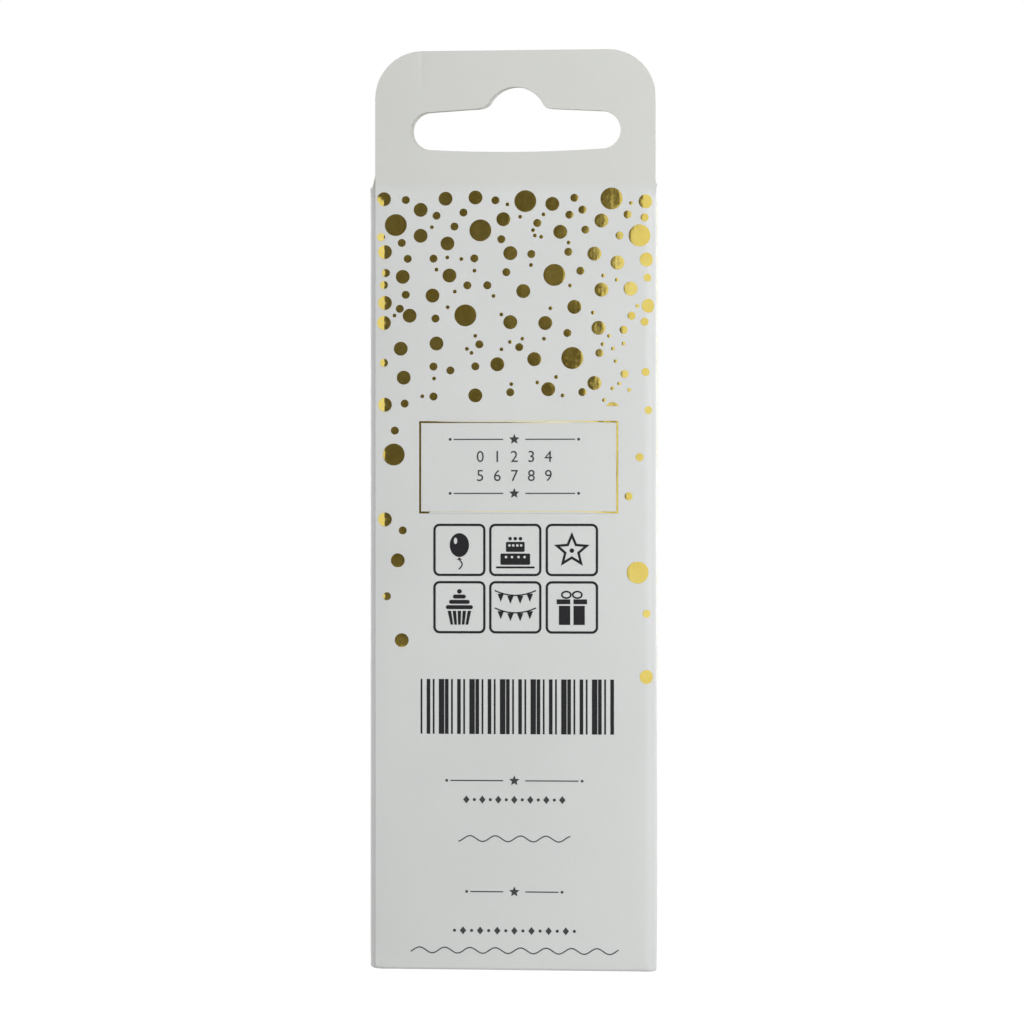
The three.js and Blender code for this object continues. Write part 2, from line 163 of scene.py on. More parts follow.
# Closing flaps: sizes as of the top end. The bottom end is the same thing turned half round about X.
CREASE_REACH = 0.5  # outer radius of the lids' and dust flaps' creases
CREASE_LEAD = 0.25  # flat board before such a crease, drawn with the flap
CREASE_BEND = CREASE_REACH * QUARTER
CREASE_END = CREASE_LEAD + CREASE_BEND
LID_SEAM = HEIGHT - CREASE_REACH - CREASE_LEAD  # the sleeve's board ends here and the lid's begins
LID_HINGE_HALF = FOLD_START - (HALF_WIDTH - lid_high.x)
LID_WIDENING = CREASE_END + FOLD_RADIUS  # where the lid has its whole width, along its path
DUST_ROOT = dust_high.y - FOLD_RADIUS + BOARD  # where the dust flap's root ends beside the plain wall
DUST_SEAM = dust_high.z - CREASE_REACH - CREASE_LEAD
DUST_RELIEF = 4.0
DUST_TIP = 3.0
TUCK_CORNER = 4.0

# Insert, numeral, wick and pick
CARD_THICKNESS = 0.4
INSERT_FOLD = 0.6
WICK_HOLE_RADIUS = 2.2
PICK_HOLE_WIDTH = 5.8
PICK_HOLE_DEPTH = 4.8
CANDLE_Y = (numeral_low.y + numeral_high.y) / 2
NUMERAL_THICKNESS = numeral_high.y - numeral_low.y
NUMERAL_STROKE = 10.0
FOOT_TRIM = 0.6
BOWL_END = math.radians(152)
WAIST_END = math.radians(104)
STROKE_POWER = 3.2
COLLAR = ((2.4, -1.5), (1.9, -0.2), (1.1, 0.5))  # radius, and height from the numeral's top
WAX_VOXEL = 0.3
WAX_SOFTENING = 0.5
WAX_SOFTENINGS = 6
WICK_STRANDS = 3
WICK_PITCH = 4.2
WICK_SPREAD = 0.4
WICK_STRAND = 0.41
WICK_FRAY = 0.25  # how much further the strands spread at the wick's end
WICK_FRAY_START = 0.92  # share of the wick's height
FLANGE_WIDTH = 10.0
FLANGE_DEPTH = 6.0
FLANGE_THICKNESS = 1.2
SHELF_TOP = numeral_low.z - FLANGE_THICKNESS  # of the insert's lower shelf, under the pick's flange
FLANGE_MIDDLE = SHELF_TOP + FLANGE_THICKNESS / 2
TANG_WIDTH = 4.0
TANG_DEPTH = 2.0
BLADE_WIDTH = 5.0
BLADE_THICKNESS = 1.6
BLADE_TIP = 11.0
PICK_POINT = 1.0
PICK_EDGE = 0.2
RIB_DEPTH = 4.0
RIB_THICKNESS = 1.2
RIB_RISE = 9.0

# Photograph: where the back panel's cut edge and foot are, and its scale, in pixels
CUT_EDGE_PX = 375.3
PANEL_FOOT_PX = 970.0
PX_PER_MM = 6.46

# Print: how far it stands out and reaches into the board
FOIL_LIFT = 0.03
INK_LIFT = 0.02
PRINT_SINK = 0.02
RIM_WIDTH = 0.16  # of the sloped rim that the stamp leaves round a foil dot
RIM_SHARE = 0.4  # of a small dot's radius, which its rim is at most
RIM_DROP = 0.006

# Confetti on the back, where the photograph has its dots, in pixels
LARGE_DOTS_PX = [
    (526, 201), (612, 199), (396, 224), (481, 230), (640, 236), (555, 275), (466, 315), (573, 358),
    (394, 454), (638, 572),
]
MEDIUM_DOTS_PX = [
    (384, 198), (446, 198), (421, 209), (476, 197), (553, 204), (646, 202), (421, 235), (504, 219),
    (561, 232), (602, 221), (448, 243), (385, 251), (511, 253), (595, 254), (647, 260), (618, 263),
    (403, 276), (450, 275), (524, 291), (602, 290), (631, 289), (433, 295), (385, 302), (410, 315),
    (575, 307), (649, 306), (384, 322), (511, 322), (546, 323), (599, 328), (437, 343), (401, 348),
    (535, 359), (498, 364), (404, 377), (385, 404), (476, 395), (549, 389), (595, 383), (613, 409),
    (385, 519), (398, 560), (402, 640), (647, 676),
]
SMALL_DOTS_PX = [
    (406, 199), (437, 215), (464, 212), (496, 200), (575, 198), (583, 210), (570, 215), (628, 215),
    (645, 218), (455, 226), (538, 223), (586, 230), (620, 236), (381, 236), (402, 242), (502, 239),
    (408, 258), (434, 258), (475, 258), (532, 254), (569, 252), (386, 272), (507, 272), (581, 271),
    (648, 278), (384, 284), (468, 285), (488, 285), (406, 294), (400, 308), (436, 318), (632, 316),
    (645, 322), (624, 330), (568, 333), (480, 344), (520, 347), (600, 353), (384, 362), (434, 366),
    (451, 370), (476, 366), (625, 374), (646, 372), (405, 403), (434, 396), (511, 392), (583, 392),
    (649, 410), (395, 430), (640, 457), (629, 496), (403, 530), (387, 596), (647, 613),
]
CUT_LINE_PX = 406  # the confetti between the next two ends in a straight line here
CUT_LEFT_PX = 408
CUT_RIGHT_PX = 622
LARGE_DOT = 1.7
MEDIUM_DOT = 1.08
SMALL_DOT = 0.62
TINY_DOT = 0.3
DOT_SHARES = ((0.05, LARGE_DOT), (0.35, MEDIUM_DOT), (0.8, SMALL_DOT), (1.0, TINY_DOT))  # shares added up
LID_DOTS = (LARGE_DOT, MEDIUM_DOT, MEDIUM_DOT, SMALL_DOT, SMALL_DOT, TINY_DOT)
LID_TRIES = 400
LID_MARGIN = 1.0
LID_GAP = 0.2  # on top of the confetti's gap
TINY_SHARE = 0.06  # of the tries between the photograph's dots, which leave a tiny one
CONFETTI_GAP = 0.28
CONFETTI_TRIES = 9000
SLEEVE_SEED = 7
LID_SEED = 3
CONFETTI_MARGIN = 0.8  # between the confetti's middles and the board's cut edges
CONFETTI_TOP = HEIGHT - 1.4
DENSE_FOOT = 88.0  # the confetti is dense above this height and thins out down to the next
SPARSE_FOOT = 43.0
SPARSE_SHARE = 0.02
THINNED_SHARE = 0.3
WINDOW_FRAME_GAP = 1.1
WINDOW_FRAME_ROOM = 0.7

# Foil frame, digits, motif boxes, stripes and small ornaments on the back, in pixels and millimetres
FRAME_PX = (420.6, 421.6, 617.8, 512.0)
FRAME_LINE = 0.3
PRINT_MIDDLE_PX = 515
DIGIT_ROWS_PX = ((456, "0  1  2  3  4"), (475, "5  6  7  8  9"))
DIGIT_HEIGHT = 1.75
DIGIT_SHARE = 0.7  # of the font's size, which a digit is high
DIGIT_EXTRUDE = 0.1
FRAME_ORNAMENTS_PX = (439, 493)
FRAME_ORNAMENT_HALF = 10.3
MOTIF_COLUMNS_PX = (460, 516, 572.5)
MOTIF_ROWS_PX = (549.5, 606.8)
MOTIF_BOX = 7.74
MOTIF_LINE = 0.37
MOTIF_CORNER = 0.78
THIN_LINE = 0.2
LOOP_LINE = 0.26
WAVE_LINE = 0.18
STAR_HOLLOW = 0.45  # of a star's radius
STRIPES_PX = (421, 678.6, 617, 733.5)
STRIPE_STEP = 0.96
STRIPE_WIDTHS = (0.28, 0.56, 0.28, 0.84, 0.56)
ORNAMENT_ROWS_PX = ((780, 70), (799, 48), (838, 56), (891, 50), (930, 60), (950, 104))
FRONT_ORNAMENT_Z = 24.0
FRONT_ORNAMENT_HALF = 13.0

# Studio, in metres. Azimuth 0 is behind the camera and 90 is at +X.
MIDDLE = Vector((0, 0, TAB_TOP / 2 * MM))
AIM = Vector((-0.00058, 0, -0.00024))
CAMERA_AZIMUTH = 3.5
CAMERA_DISTANCE = 0.4
CAMERA_LENS = 88.84
AMBIENT = 0.42
FLOOR_SIZE = 3.0
FLOOR_DROP = 0.028  # the pack hangs by its tab, with room below it for its bottom lid to open
FLOOR_WHITE = 1.06
FLOOR_WHITE_SHARE = 0.93
DARK_CARD = (-0.23, -0.1, 0.026, 0.5)  # left, foot, right and top
DARK_CARD_Y = -0.62
# Softboxes: azimuth, elevation, distance, width, height, power, and whether the foil mirrors them
SOFTBOXES = {
    "right_softbox": (46, 6, 0.32, 0.3, 0.6, 1.25, False),
    "left_softbox": (-62, 10, 0.9, 0.7, 0.9, 2.42, False),
    "far_right_softbox": (152, 15, 0.9, 0.7, 0.9, 2.7, True),
    "far_left_softbox": (-150, 15, 0.9, 0.7, 0.9, 2.7, True),
    "top_softbox": (0, 88, 0.8, 0.7, 0.7, 1.6, True),
}

# Steps, sides and limits of the meshes
FLAT_STEP = 2.0
BEND_STEP = math.radians(11)
ARC_STEP = math.radians(9)
SECTION_STEP = math.radians(10)
BOWL_STEP = math.radians(4)
WICK_STEP = 0.3
PRINT_STEP = 1.2
STRIPE_PRINT_STEP = 4.0
WAVE_STEP = 0.35
CREASE_ROWS = 4
EASE_ROWS = 6
DENT_COLUMNS = 3
CURVE_STEPS = 8
TURNED_SIDES = 24
STRAND_SIDES = 10
DOT_SIDES = 28
TINY_DOT_SIDES = 12
DOT_RING = 0.45
GRID_GAP = 0.12  # between a mesh point inside a board and its edge
EDGE_SWELL = 0.03  # how far the middle of a cut edge stands out
EDGE_LAYERS = ((0.0, 0.0), (0.15, EDGE_SWELL), (0.85, EDGE_SWELL), (1.0, 0.0))  # depth as a share, swell
BOARD_SHARP = 38  # degrees
WAX_SHARP = 60
PICK_SHARP = 40
ROUNDING = 1e-9  # of a count of steps
HAIR = 1e-6  # no length
CUT_GAP = 1e-3  # share of a side, between two points on it
WELD = 1e-4
MITRE_LIMIT = 0.5  # smallest cosine that stretches a corner of a shifted line
NOISE_LOW = 0.3  # most of a noise's values are from this to the next
NOISE_HIGH = 0.7


# Outlines


def steps(start, end, longest):
    """Evenly spaced values from start to end, both included."""
    count = max(1, math.ceil(abs(end - start) / longest - ROUNDING))
    return [start + (end - start) * i / count for i in range(count + 1)]


def arc(centre, radius, start, end):
    """Points on an arc, from angle start to angle end."""
    turns = steps(start, end, ARC_STEP)
    return [(centre[0] + radius * math.cos(a), centre[1] + radius * math.sin(a)) for a in turns]


def curve_through(start, control, end):
    """Points on a quadratic curve."""
    points = []
    for t in steps(0, 1, 1 / CURVE_STEPS):
        shares = list(zip(((1 - t) ** 2, 2 * t * (1 - t), t**2), (start, control, end)))
        points.append(tuple(sum(share * p[axis] for share, p in shares) for axis in (0, 1)))
    return points


def oval(x, z, half_width, half_height):
    return [(x + half_width * u, z + half_height * v) for u, v in arc((0, 0), 1, 0, TURN)[:-1]]


def rectangle(left, foot, right, top):
    return [(left, foot), (right, foot), (right, top), (left, top)]


def rounded_rectangle(left, foot, right, top, radius):
    corners = rectangle(left + radius, foot + radius, right - radius, top - radius)
    turns = zip(corners[1:] + corners[:1], (-1, 0, 1, 2))
    return [p for corner, i in turns for p in arc(corner, radius, i * QUARTER, (i + 1) * QUARTER)]


def sides_of(loop):
    return zip(loop, loop[1:] + loop[:1])


def split_at(loop, columns, rows):
    """The loop with a point wherever it crosses a column or a row."""
    result = []
    for (x0, y0), (x1, y1) in sides_of(loop):
        cuts = {0.0}
        cuts |= {(c - x0) / (x1 - x0) for c in columns if min(x0, x1) < c < max(x0, x1)}
        cuts |= {(r - y0) / (y1 - y0) for r in rows if min(y0, y1) < r < max(y0, y1)}
        last = -1.0
        for cut in sorted(cuts):
            if cut - last > CUT_GAP:
                result.append((x0 + (x1 - x0) * cut, y0 + (y1 - y0) * cut))
                last = cut
    return result


class FoldedPath:
    """A board seen along its creases: flat stretches and bends, each given as (length, turn).

    Points are complex numbers. A turn to the left bends the board away from its outer face, and the
    length is measured on that face.
    """

    def __init__(self, start, heading, stretches):
        self.stretches = []
        corner, along = start, 0.0
        for length, turn in stretches:
            self.stretches.append((along, length, turn, corner, heading))
            along += length
            corner = self.point(along, 0.0)
            heading *= cmath.exp(1j * turn)
        self.length = along

    def point(self, along, lift):
        """The place at that length along the path, lift outside the outer face."""
        behind = [s for s in self.stretches if s[0] <= along] or self.stretches[:1]
        start, length, turn, corner, heading = behind[-1]
        if turn:
            radius = length / turn
            turned = heading * cmath.exp(1j * (along - start) / radius)
            return corner + 1j * radius * (heading - turned) - 1j * turned * lift
        return corner + (along - start) * heading - 1j * heading * lift

    def columns(self):
        """Lengths at which a mesh that follows the path needs points."""
        found = []
        for start, length, turn, _, _ in self.stretches:
            count = math.ceil(max(length / FLAT_STEP, abs(turn) / BEND_STEP))
            found += [start + length * i / count for i in range(count)]
        return [*found, self.length]


# Meshes


def inside(points, loop):
    """Which of the points, as an array of complex numbers, are inside the closed loop."""
    found = np.zeros(len(points), bool)
    for (x0, y0), (x1, y1) in sides_of(loop):
        if y0 != y1:
            crosses = (y0 > points.imag) != (y1 > points.imag)
            found ^= crosses & (points.real < x0 + (points.imag - y0) * (x1 - x0) / (y1 - y0))
    return found


def within(points, loops):
    """Which of the points are inside the first loop and outside the others, its holes."""
    found = inside(points, loops[0])
    for hole in loops[1:]:
        found &= ~inside(points, hole)
    return found


def near(points, loop, reach):
    """Which of the points are within reach of the loop's line."""
    found = np.zeros(len(points), bool)
    for start, end in sides_of(loop):
        start, span = complex(*start), complex(*end) - complex(*start)
        share = ((points - start) * span.conjugate()).real / max(abs(span) ** 2, HAIR**2)
        found |= abs(points - start - np.clip(share, 0, 1) * span) < reach
    return found


def new_object(name, data):
    made = bpy.data.objects.new(name, data)
    bpy.context.scene.collection.objects.link(made)
    return made


def smoothed(mesh, sharp):
    """Makes the mesh smooth but for edges sharper than that many degrees."""
    mesh.shade_smooth()
    mesh.set_sharp_from_angle(angle=math.radians(sharp))


def mesh_object(name, points, faces, materials, face_materials=None):
    """A shown object from points in millimetres."""
    mesh = bpy.data.meshes.new(name)
    mesh.from_pydata([Vector(p) * MM for p in points], [], faces)
    for item in materials:
        mesh.materials.append(item)
    if face_materials:
        mesh.polygons.foreach_set("material_index", face_materials)
    work = bmesh.new()
    work.from_mesh(mesh)
    bmesh.ops.recalc_face_normals(work, faces=work.faces)
    work.to_mesh(mesh)
    work.free()
    smoothed(mesh, BOARD_SHARP)
    return new_object(name, mesh)


def evaluated(base, name, sharp):
    """The object's mesh with its modifiers applied, as a new object in its place."""
    graph = bpy.context.evaluated_depsgraph_get()
    mesh = bpy.data.meshes.new_from_object(base.evaluated_get(graph))
    bpy.data.objects.remove(base)
    mesh.name = name
    smoothed(mesh, sharp)
    return new_object(name, mesh)


def flat_mesh(loops, columns, rows):
    """Points and triangles that fill the first loop but for its holes, gridded by columns and rows."""
    flat, edges = [], []
    for loop in loops:
        first = len(flat)
        flat += loop
        edges += ring_sides(first, len(loop))
    grid = np.array([complex(column, row) for column in columns for row in rows])
    kept = within(grid, loops)
    for loop in loops:
        kept &= ~near(grid, loop, GRID_GAP)
    flat += [(p.real, p.imag) for p in grid[kept]]
    points, _, triangles, *_ = delaunay_2d_cdt([Vector(p) for p in flat], edges, [], 0, HAIR)
    places = np.array([complex(p.x, p.y) for p in points])
    corners = places[np.array([tuple(t) for t in triangles])]
    kept = within(corners.mean(axis=1), loops)
    ways = ((corners[:, 1] - corners[:, 0]).conjugate() * (corners[:, 2] - corners[:, 0])).imag
    chosen = [(t, way) for t, way, keep in zip(triangles, ways, kept) if keep]
    return places, [tuple(t) if way > 0 else tuple(reversed(t)) for t, way in chosen]


def rim_of(triangles):
    """The sides that only one triangle has, in its own direction."""
    uses = {}
    for a, b, c in triangles:
        for side in ((a, b), (b, c), (c, a)):
            uses.setdefault(frozenset(side), []).append(side)
    return [sides[0] for sides in uses.values() if len(sides) == 1]


def board_object(name, outline, holes, columns, rows, place, materials, thickness=PLY):
    """A folded board with soft cut edges, drawn flat and folded by place(u, v, lift).

    The materials are those of the outer face, the inner face and the cut edge.
    """
    loops = [split_at(loop, columns, rows) for loop in (outline, *holes)]
    flat, triangles = flat_mesh(loops, columns, rows)
    rim = rim_of(triangles)
    outward = {}
    for a, b in rim:
        way = flat[b] - flat[a]
        for corner in (a, b):
            outward[corner] = outward.get(corner, 0) - 1j * way / abs(way)
    points, layers = [], []
    for depth, swell in EDGE_LAYERS:
        layer = {}
        for i in outward if swell else range(len(flat)):
            here = flat[i]
            if swell:
                here += outward[i] / abs(outward[i]) * swell
            layer[i] = len(points)
            points.append(place(here.real, here.imag, -depth * thickness))
        layers.append(layer)
    faces = [tuple(layers[0][i] for i in t) for t in triangles]
    faces += [tuple(layers[-1][i] for i in reversed(t)) for t in triangles]
    kinds = [0] * len(triangles) + [1] * len(triangles)
    for upper, lower in zip(layers, layers[1:]):
        faces += [(upper[b], upper[a], lower[a], lower[b]) for a, b in rim]
        kinds += [2] * len(rim)
    return mesh_object(name, points, faces, materials, kinds)


def strip_object(name, outline, holes, path, across, *look):
    """A board folded along a path. across(u, p) is the place beside a point p of the path."""
    us = [u for u, _ in outline]

    def place(u, v, lift):
        return across(u, path.point(v, lift))

    columns = steps(min(us), max(us), FLAT_STEP)
    return board_object(name, outline, holes, columns, path.columns(), place, *look)


def ring_sides(first, sides):
    """The pairs of neighbours in a ring of points."""
    return list(sides_of(list(range(first, first + sides))))


def wall(first, sides, drop):
    """Quads from a ring of points to the one that comes that many points later."""
    return [(a, b, b + drop, a + drop) for a, b in ring_sides(first, sides)]


def tube_faces(rings, sides):
    """Quads between successive rings of points, and a cap at each end."""
    faces = [quad for ring in range(rings - 1) for quad in wall(ring * sides, sides, sides)]
    last = (rings - 1) * sides
    return [*faces, tuple(range(sides))[::-1], tuple(range(last, last + sides))]


def joined(parts):
    """The points and faces of several parts as those of one."""
    points, faces = [], []
    for part_points, part_faces in parts:
        first = len(points)
        points += part_points
        faces += [tuple(first + i for i in face) for face in part_faces]
    return points, faces


def stands_for(piece, slot, *nodes):
    """The piece takes the place of CAD nodes that move with the carton. The slot is not used."""
    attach(piece, "carton")
    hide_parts(*nodes)


# Materials


def feed(tree, socket, value):
    """Links a node's output to a socket, or sets an even value on it."""
    if isinstance(value, bpy.types.NodeSocket):
        tree.links.new(value, socket)
    else:
        socket.default_value = value


def add_node(tree, kind, **inputs):
    made = tree.nodes.new(kind)
    for name, value in inputs.items():
        feed(tree, made.inputs[name.replace("_", " ")], value)
    return made


def calculated(tree, operation, first, second):
    made = add_node(tree, "ShaderNodeMath")
    made.operation = operation
    feed(tree, made.inputs[0], first)
    feed(tree, made.inputs[1], second)
    return made.outputs[0]


def linear(colour):
    """The linear colour, with its alpha, of one written in 0 to 255 as a screen shows it."""
    shares = [c / 255 for c in colour]
    return (*(s / 12.92 if s <= 0.04045 else ((s + 0.055) / 1.055) ** 2.4 for s in shares), 1)


def material(name, colour, roughness, **values):
    """A new material and its node tree. The values are those of the Principled shader's sockets."""
    made = bpy.data.materials.new(name)
    made.use_nodes = True
    dressed(made, Base_Color=linear(colour), Roughness=roughness, **values)
    return made, made.node_tree


def dressed(made, **inputs):
    """The material with values or nodes' outputs on its shader's sockets."""
    shader = made.node_tree.nodes["Principled BSDF"]
    for name, value in inputs.items():
        feed(made.node_tree, shader.inputs[name.replace("_", " ")], value)
    return made


def object_place(tree):
    return add_node(tree, "ShaderNodeTexCoord").outputs["Object"]


def grain(tree, size, detail=3.0, stretch=(1, 1, 1), distortion=0.0):
    """Noise from 0 to 1 whose features are about size millimetres, fixed to the object."""
    place = add_node(tree, "ShaderNodeMapping", Vector=object_place(tree), Scale=stretch).outputs["Vector"]
    look = {"Scale": 1 / (size * MM), "Detail": detail, "Distortion": distortion}
    return add_node(tree, "ShaderNodeTexNoise", Vector=place, **look).outputs["Fac"]


def ramp(tree, value, low, high, to_low=0.0, to_high=1.0):
    """The value stretched from low..high to to_low..to_high, and held there."""
    ends = {"From_Min": low, "From_Max": high, "To_Min": to_low, "To_Max": to_high}
    return add_node(tree, "ShaderNodeMapRange", Value=value, **ends).outputs["Result"]


def mottle(tree, size, detail, low=NOISE_LOW, high=NOISE_HIGH, **stretch):
    """Noise with more contrast: 0 up to the low value and 1 from the high one."""
    return ramp(tree, grain(tree, size, detail, **stretch), low, high)


def patchy(tree, size, detail, least, most):
    """A roughness that varies in patches."""
    return ramp(tree, grain(tree, size, detail), NOISE_LOW, NOISE_HIGH, least, most)


def blend_colours(tree, share, *colours):
    """A blend of two colours, each a node's output or written in 0 to 255."""
    made = tree.nodes.new("ShaderNodeMix")
    made.data_type = "RGBA"
    feed(tree, made.inputs["Factor"], share)
    for socket, colour in zip(made.inputs[6:8], colours):
        feed(tree, socket, linear(colour) if isinstance(colour, tuple) else colour)
    return made.outputs[2]


def bumped(tree, height, depth, **below):
    """A normal from a height of 0 to 1 that stands for depth millimetres, on top of any below."""
    bump = add_node(tree, "ShaderNodeBump", Height=height, Distance=depth * MM, Strength=1.0, **below)
    return bump.outputs["Normal"]


def uneven(tree, **below):
    """The board's own broad unevenness."""
    return bumped(tree, grain(tree, 9, 2), 0.05, **below)


def printed_board():
    """White coated face: clay coat with a faint orange-peel, broad tone changes and scuffs."""
    made, tree = material("coated_board", (211, 213, 212), 0.42)
    toned = blend_colours(tree, mottle(tree, 26, 2), (208, 210, 209), (213, 215, 214))
    height = add_node(tree, "ShaderNodeSeparateXYZ", Vector=object_place(tree)).outputs["Z"]
    on_tab = ramp(tree, height, TAB_TINT_FOOT * MM, TAB_TINT_TOP * MM, 0.0, 0.7)
    warmed = blend_colours(tree, on_tab, toned, (205, 206, 200))
    specks = ramp(tree, mottle(tree, 0.35, 4, 0.35, 0.65), 0.0, 1.0, 0.0, 0.08)
    colour = blend_colours(tree, specks, warmed, (188, 189, 186))
    normal = uneven(tree, Normal=bumped(tree, grain(tree, 0.5, 3), 0.006))
    return dressed(made, Base_Color=colour, Roughness=patchy(tree, 3.5, 4, 0.36, 0.5), Normal=normal)


def liner_board():
    """Uncoated inner face of the board: matt, with short fibres and specks."""
    made, tree = material("uncoated_board", (200, 199, 193), 0.85)
    fibres = mottle(tree, 0.9, 6, 0.35, 0.68, stretch=(1, 1, 0.25), distortion=0.6)
    toned = blend_colours(tree, fibres, (192, 190, 183), (207, 206, 200))
    colour = blend_colours(tree, mottle(tree, 0.25, 1, 0.7, 0.76), toned, (165, 160, 148))
    return dressed(made, Base_Color=colour, Normal=bumped(tree, fibres, 0.02))


def cut_board():
    """The board's cut edge: pressed layers of pulp."""
    made, tree = material("cut_edge", (196, 196, 191), 0.9)
    layers = mottle(tree, 0.12, 3, 0.35, 0.65)
    colour = blend_colours(tree, layers, (172, 171, 165), (214, 213, 208))
    return dressed(made, Base_Color=colour, Normal=bumped(tree, layers, 0.03))


def gold_foil():
    """Hot-stamped foil: mirror gold over board, whose unevenness breaks its reflection."""
    made, tree = material("gold_foil", (228, 207, 112), 0.1, Metallic=1.0)
    colour = blend_colours(tree, mottle(tree, 7, 2, 0.35, 0.65), (224, 201, 104), (232, 212, 120))
    peel = bumped(tree, grain(tree, 0.4, 3), 0.004)
    streaks = bumped(tree, grain(tree, 1.6, 2, (1, 1, 0.12)), 0.03, Normal=peel)
    rough = patchy(tree, 0.6, 4, 0.07, 0.16)
    return dressed(made, Base_Color=colour, Roughness=rough, Normal=uneven(tree, Normal=streaks))


def printing_ink(name, colour):
    made, tree = material(name, colour, 0.45, Specular_IOR_Level=0.25)
    pale = tuple(min(255, c + 16) for c in colour)
    cover = blend_colours(tree, mottle(tree, 0.18, 4, 0.4, 0.75), colour, pale)
    return dressed(made, Base_Color=cover, Normal=bumped(tree, grain(tree, 0.5, 3), 0.004))


def insert_stock():
    made, tree = material("insert_card_stock", (233, 232, 227), 0.7)
    fibres = mottle(tree, 0.7, 6, 0.35, 0.65, stretch=(1, 1, 0.3), distortion=0.4)
    colour = blend_colours(tree, fibres, (226, 225, 219), (238, 237, 233))
    return dressed(made, Base_Color=colour, Normal=bumped(tree, fibres, 0.012))


def clear_film():
    """Thin clear film: what it doesn't reflect goes straight through."""
    made, tree = material("clear_film", (244, 248, 249), 0.04)
    sideways = add_node(tree, "ShaderNodeLayerWeight", Blend=0.5).outputs["Facing"]
    alpha = ramp(tree, calculated(tree, "POWER", sideways, 4), 0.0, 1.0, 0.04, 0.8)
    return dressed(made, Alpha=alpha, Normal=bumped(tree, mottle(tree, 14, 2), 0.12))


def gold_wax():
    """Wax with a sprayed metallic coat: fine flakes, slight flow marks and worn patches."""
    coat = {"Coat_Weight": 0.1, "Coat_Roughness": 0.2}
    made, tree = material("gold_wax", (204, 152, 48), 0.36, Metallic=0.72, **coat)
    flakes = mottle(tree, 0.3, 2, 0.4, 0.65)
    colour = blend_colours(tree, flakes, (196, 142, 38), (212, 164, 60))
    flow = bumped(tree, grain(tree, 8, 2), 0.08, Normal=bumped(tree, flakes, 0.003))
    return dressed(made, Base_Color=colour, Roughness=patchy(tree, 2.5, 4, 0.32, 0.44), Normal=flow)


def cotton():
    made, tree = material("wick_cotton", (240, 237, 228), 0.9, Sheen_Weight=0.3)
    threads = mottle(tree, 0.2, 4, stretch=(1, 1, 0.3))
    colour = blend_colours(tree, threads, (218, 212, 198), (247, 245, 238))
    return dressed(made, Base_Color=colour, Normal=bumped(tree, threads, 0.05))


def moulded_plastic():
    glow = {"Subsurface_Weight": 0.15, "Subsurface_Scale": MM}
    made, tree = material("moulded_plastic", (243, 243, 240), 0.35, **glow)
    colour = blend_colours(tree, mottle(tree, 12, 2), (239, 239, 236), (246, 246, 244))
    mould = bumped(tree, grain(tree, 0.15, 3), 0.008)
    return dressed(made, Base_Color=colour, Roughness=patchy(tree, 4, 3, 0.28, 0.42), Normal=mould)


PRINT = printed_board()
LINER = liner_board()
CUT = cut_board()
FOIL = gold_foil()
INK = printing_ink("dark_ink", (24, 24, 27))
GREY_INK = printing_ink("grey_ink", (58, 58, 60))
CARD = insert_stock()
BOARD_MATERIALS = (PRINT, LINER, CUT)


# Sleeve. Its path, seen from above, goes from the back panel's cut edge round to the glued panel's edge.
BEND_LENGTH = FOLD_RADIUS * QUARTER
BACK_LEAD = -FOLD_START - CUT_EDGE  # from the cut edge to where the panel's bulge starts
BACK_END = FOLD_START - CUT_EDGE
RIGHT_START = BACK_END + BEND_LENGTH
RIGHT_END = RIGHT_START + 2 * (HALF_DEPTH - FOLD_RADIUS)
FRONT_START = RIGHT_END + BEND_LENGTH
FRONT_END = FRONT_START + 2 * FOLD_START
FRONT_MIDDLE = (FRONT_START + FRONT_END) / 2
LEFT_START = FRONT_END + BEND_LENGTH
LEFT_END = LEFT_START + (left_high.y - left_low.y) - 2 * FOLD_RADIUS
FIFTH_START = LEFT_END + BEND_LENGTH
FIFTH_MIDDLE = FIFTH_START + FOLD_START
FIFTH_END = FIFTH_MIDDLE + insert_high.x
FLATS = (BACK_END - BACK_LEAD, RIGHT_END - RIGHT_START, FRONT_END - FRONT_START, LEFT_END - LEFT_START)
SLEEVE = FoldedPath(
    complex(CUT_EDGE, -HALF_DEPTH),
    1 + 0j,
    [
        (BACK_LEAD, 0),
        *[stretch for flat in FLATS for stretch in ((flat, 0), (BEND_LENGTH, QUARTER))],
        (FIFTH_END - FIFTH_START, 0),
    ],
)
TAB_END = BACK_END + TAB_SHIFT + TAB_HALF - FOLD_START  # the tab's right edge, along the path
INNER_TAB_START = FIFTH_MIDDLE - HALF_WIDTH + FLARE_INSET  # the foot of the inner ply's flare
LEFT_FOOT_TURN = LEFT_END + LEFT_FOOT_RUN * BEND_LENGTH  # where the left fold's slanting foot is down


def crown(offset, half, power=CROWN_POWER):
    """How much of a panel's bulge shows at an offset from its middle: flat-topped, none at its folds."""
    return max(0.0, 1 - (offset / half) ** power)


def eased(share):
    """0 to 1 with a soft start and end, for a share of 0 to 1, and held outside."""
    share = min(1.0, max(0.0, share))
    return share * share * (3 - 2 * share)


def foot_roll(z):
    """How far the back's foot turns in beside the lid's crease."""
    return FOOT_ROLL * max(0.0, 1 - z / CREASE_REACH) ** 2


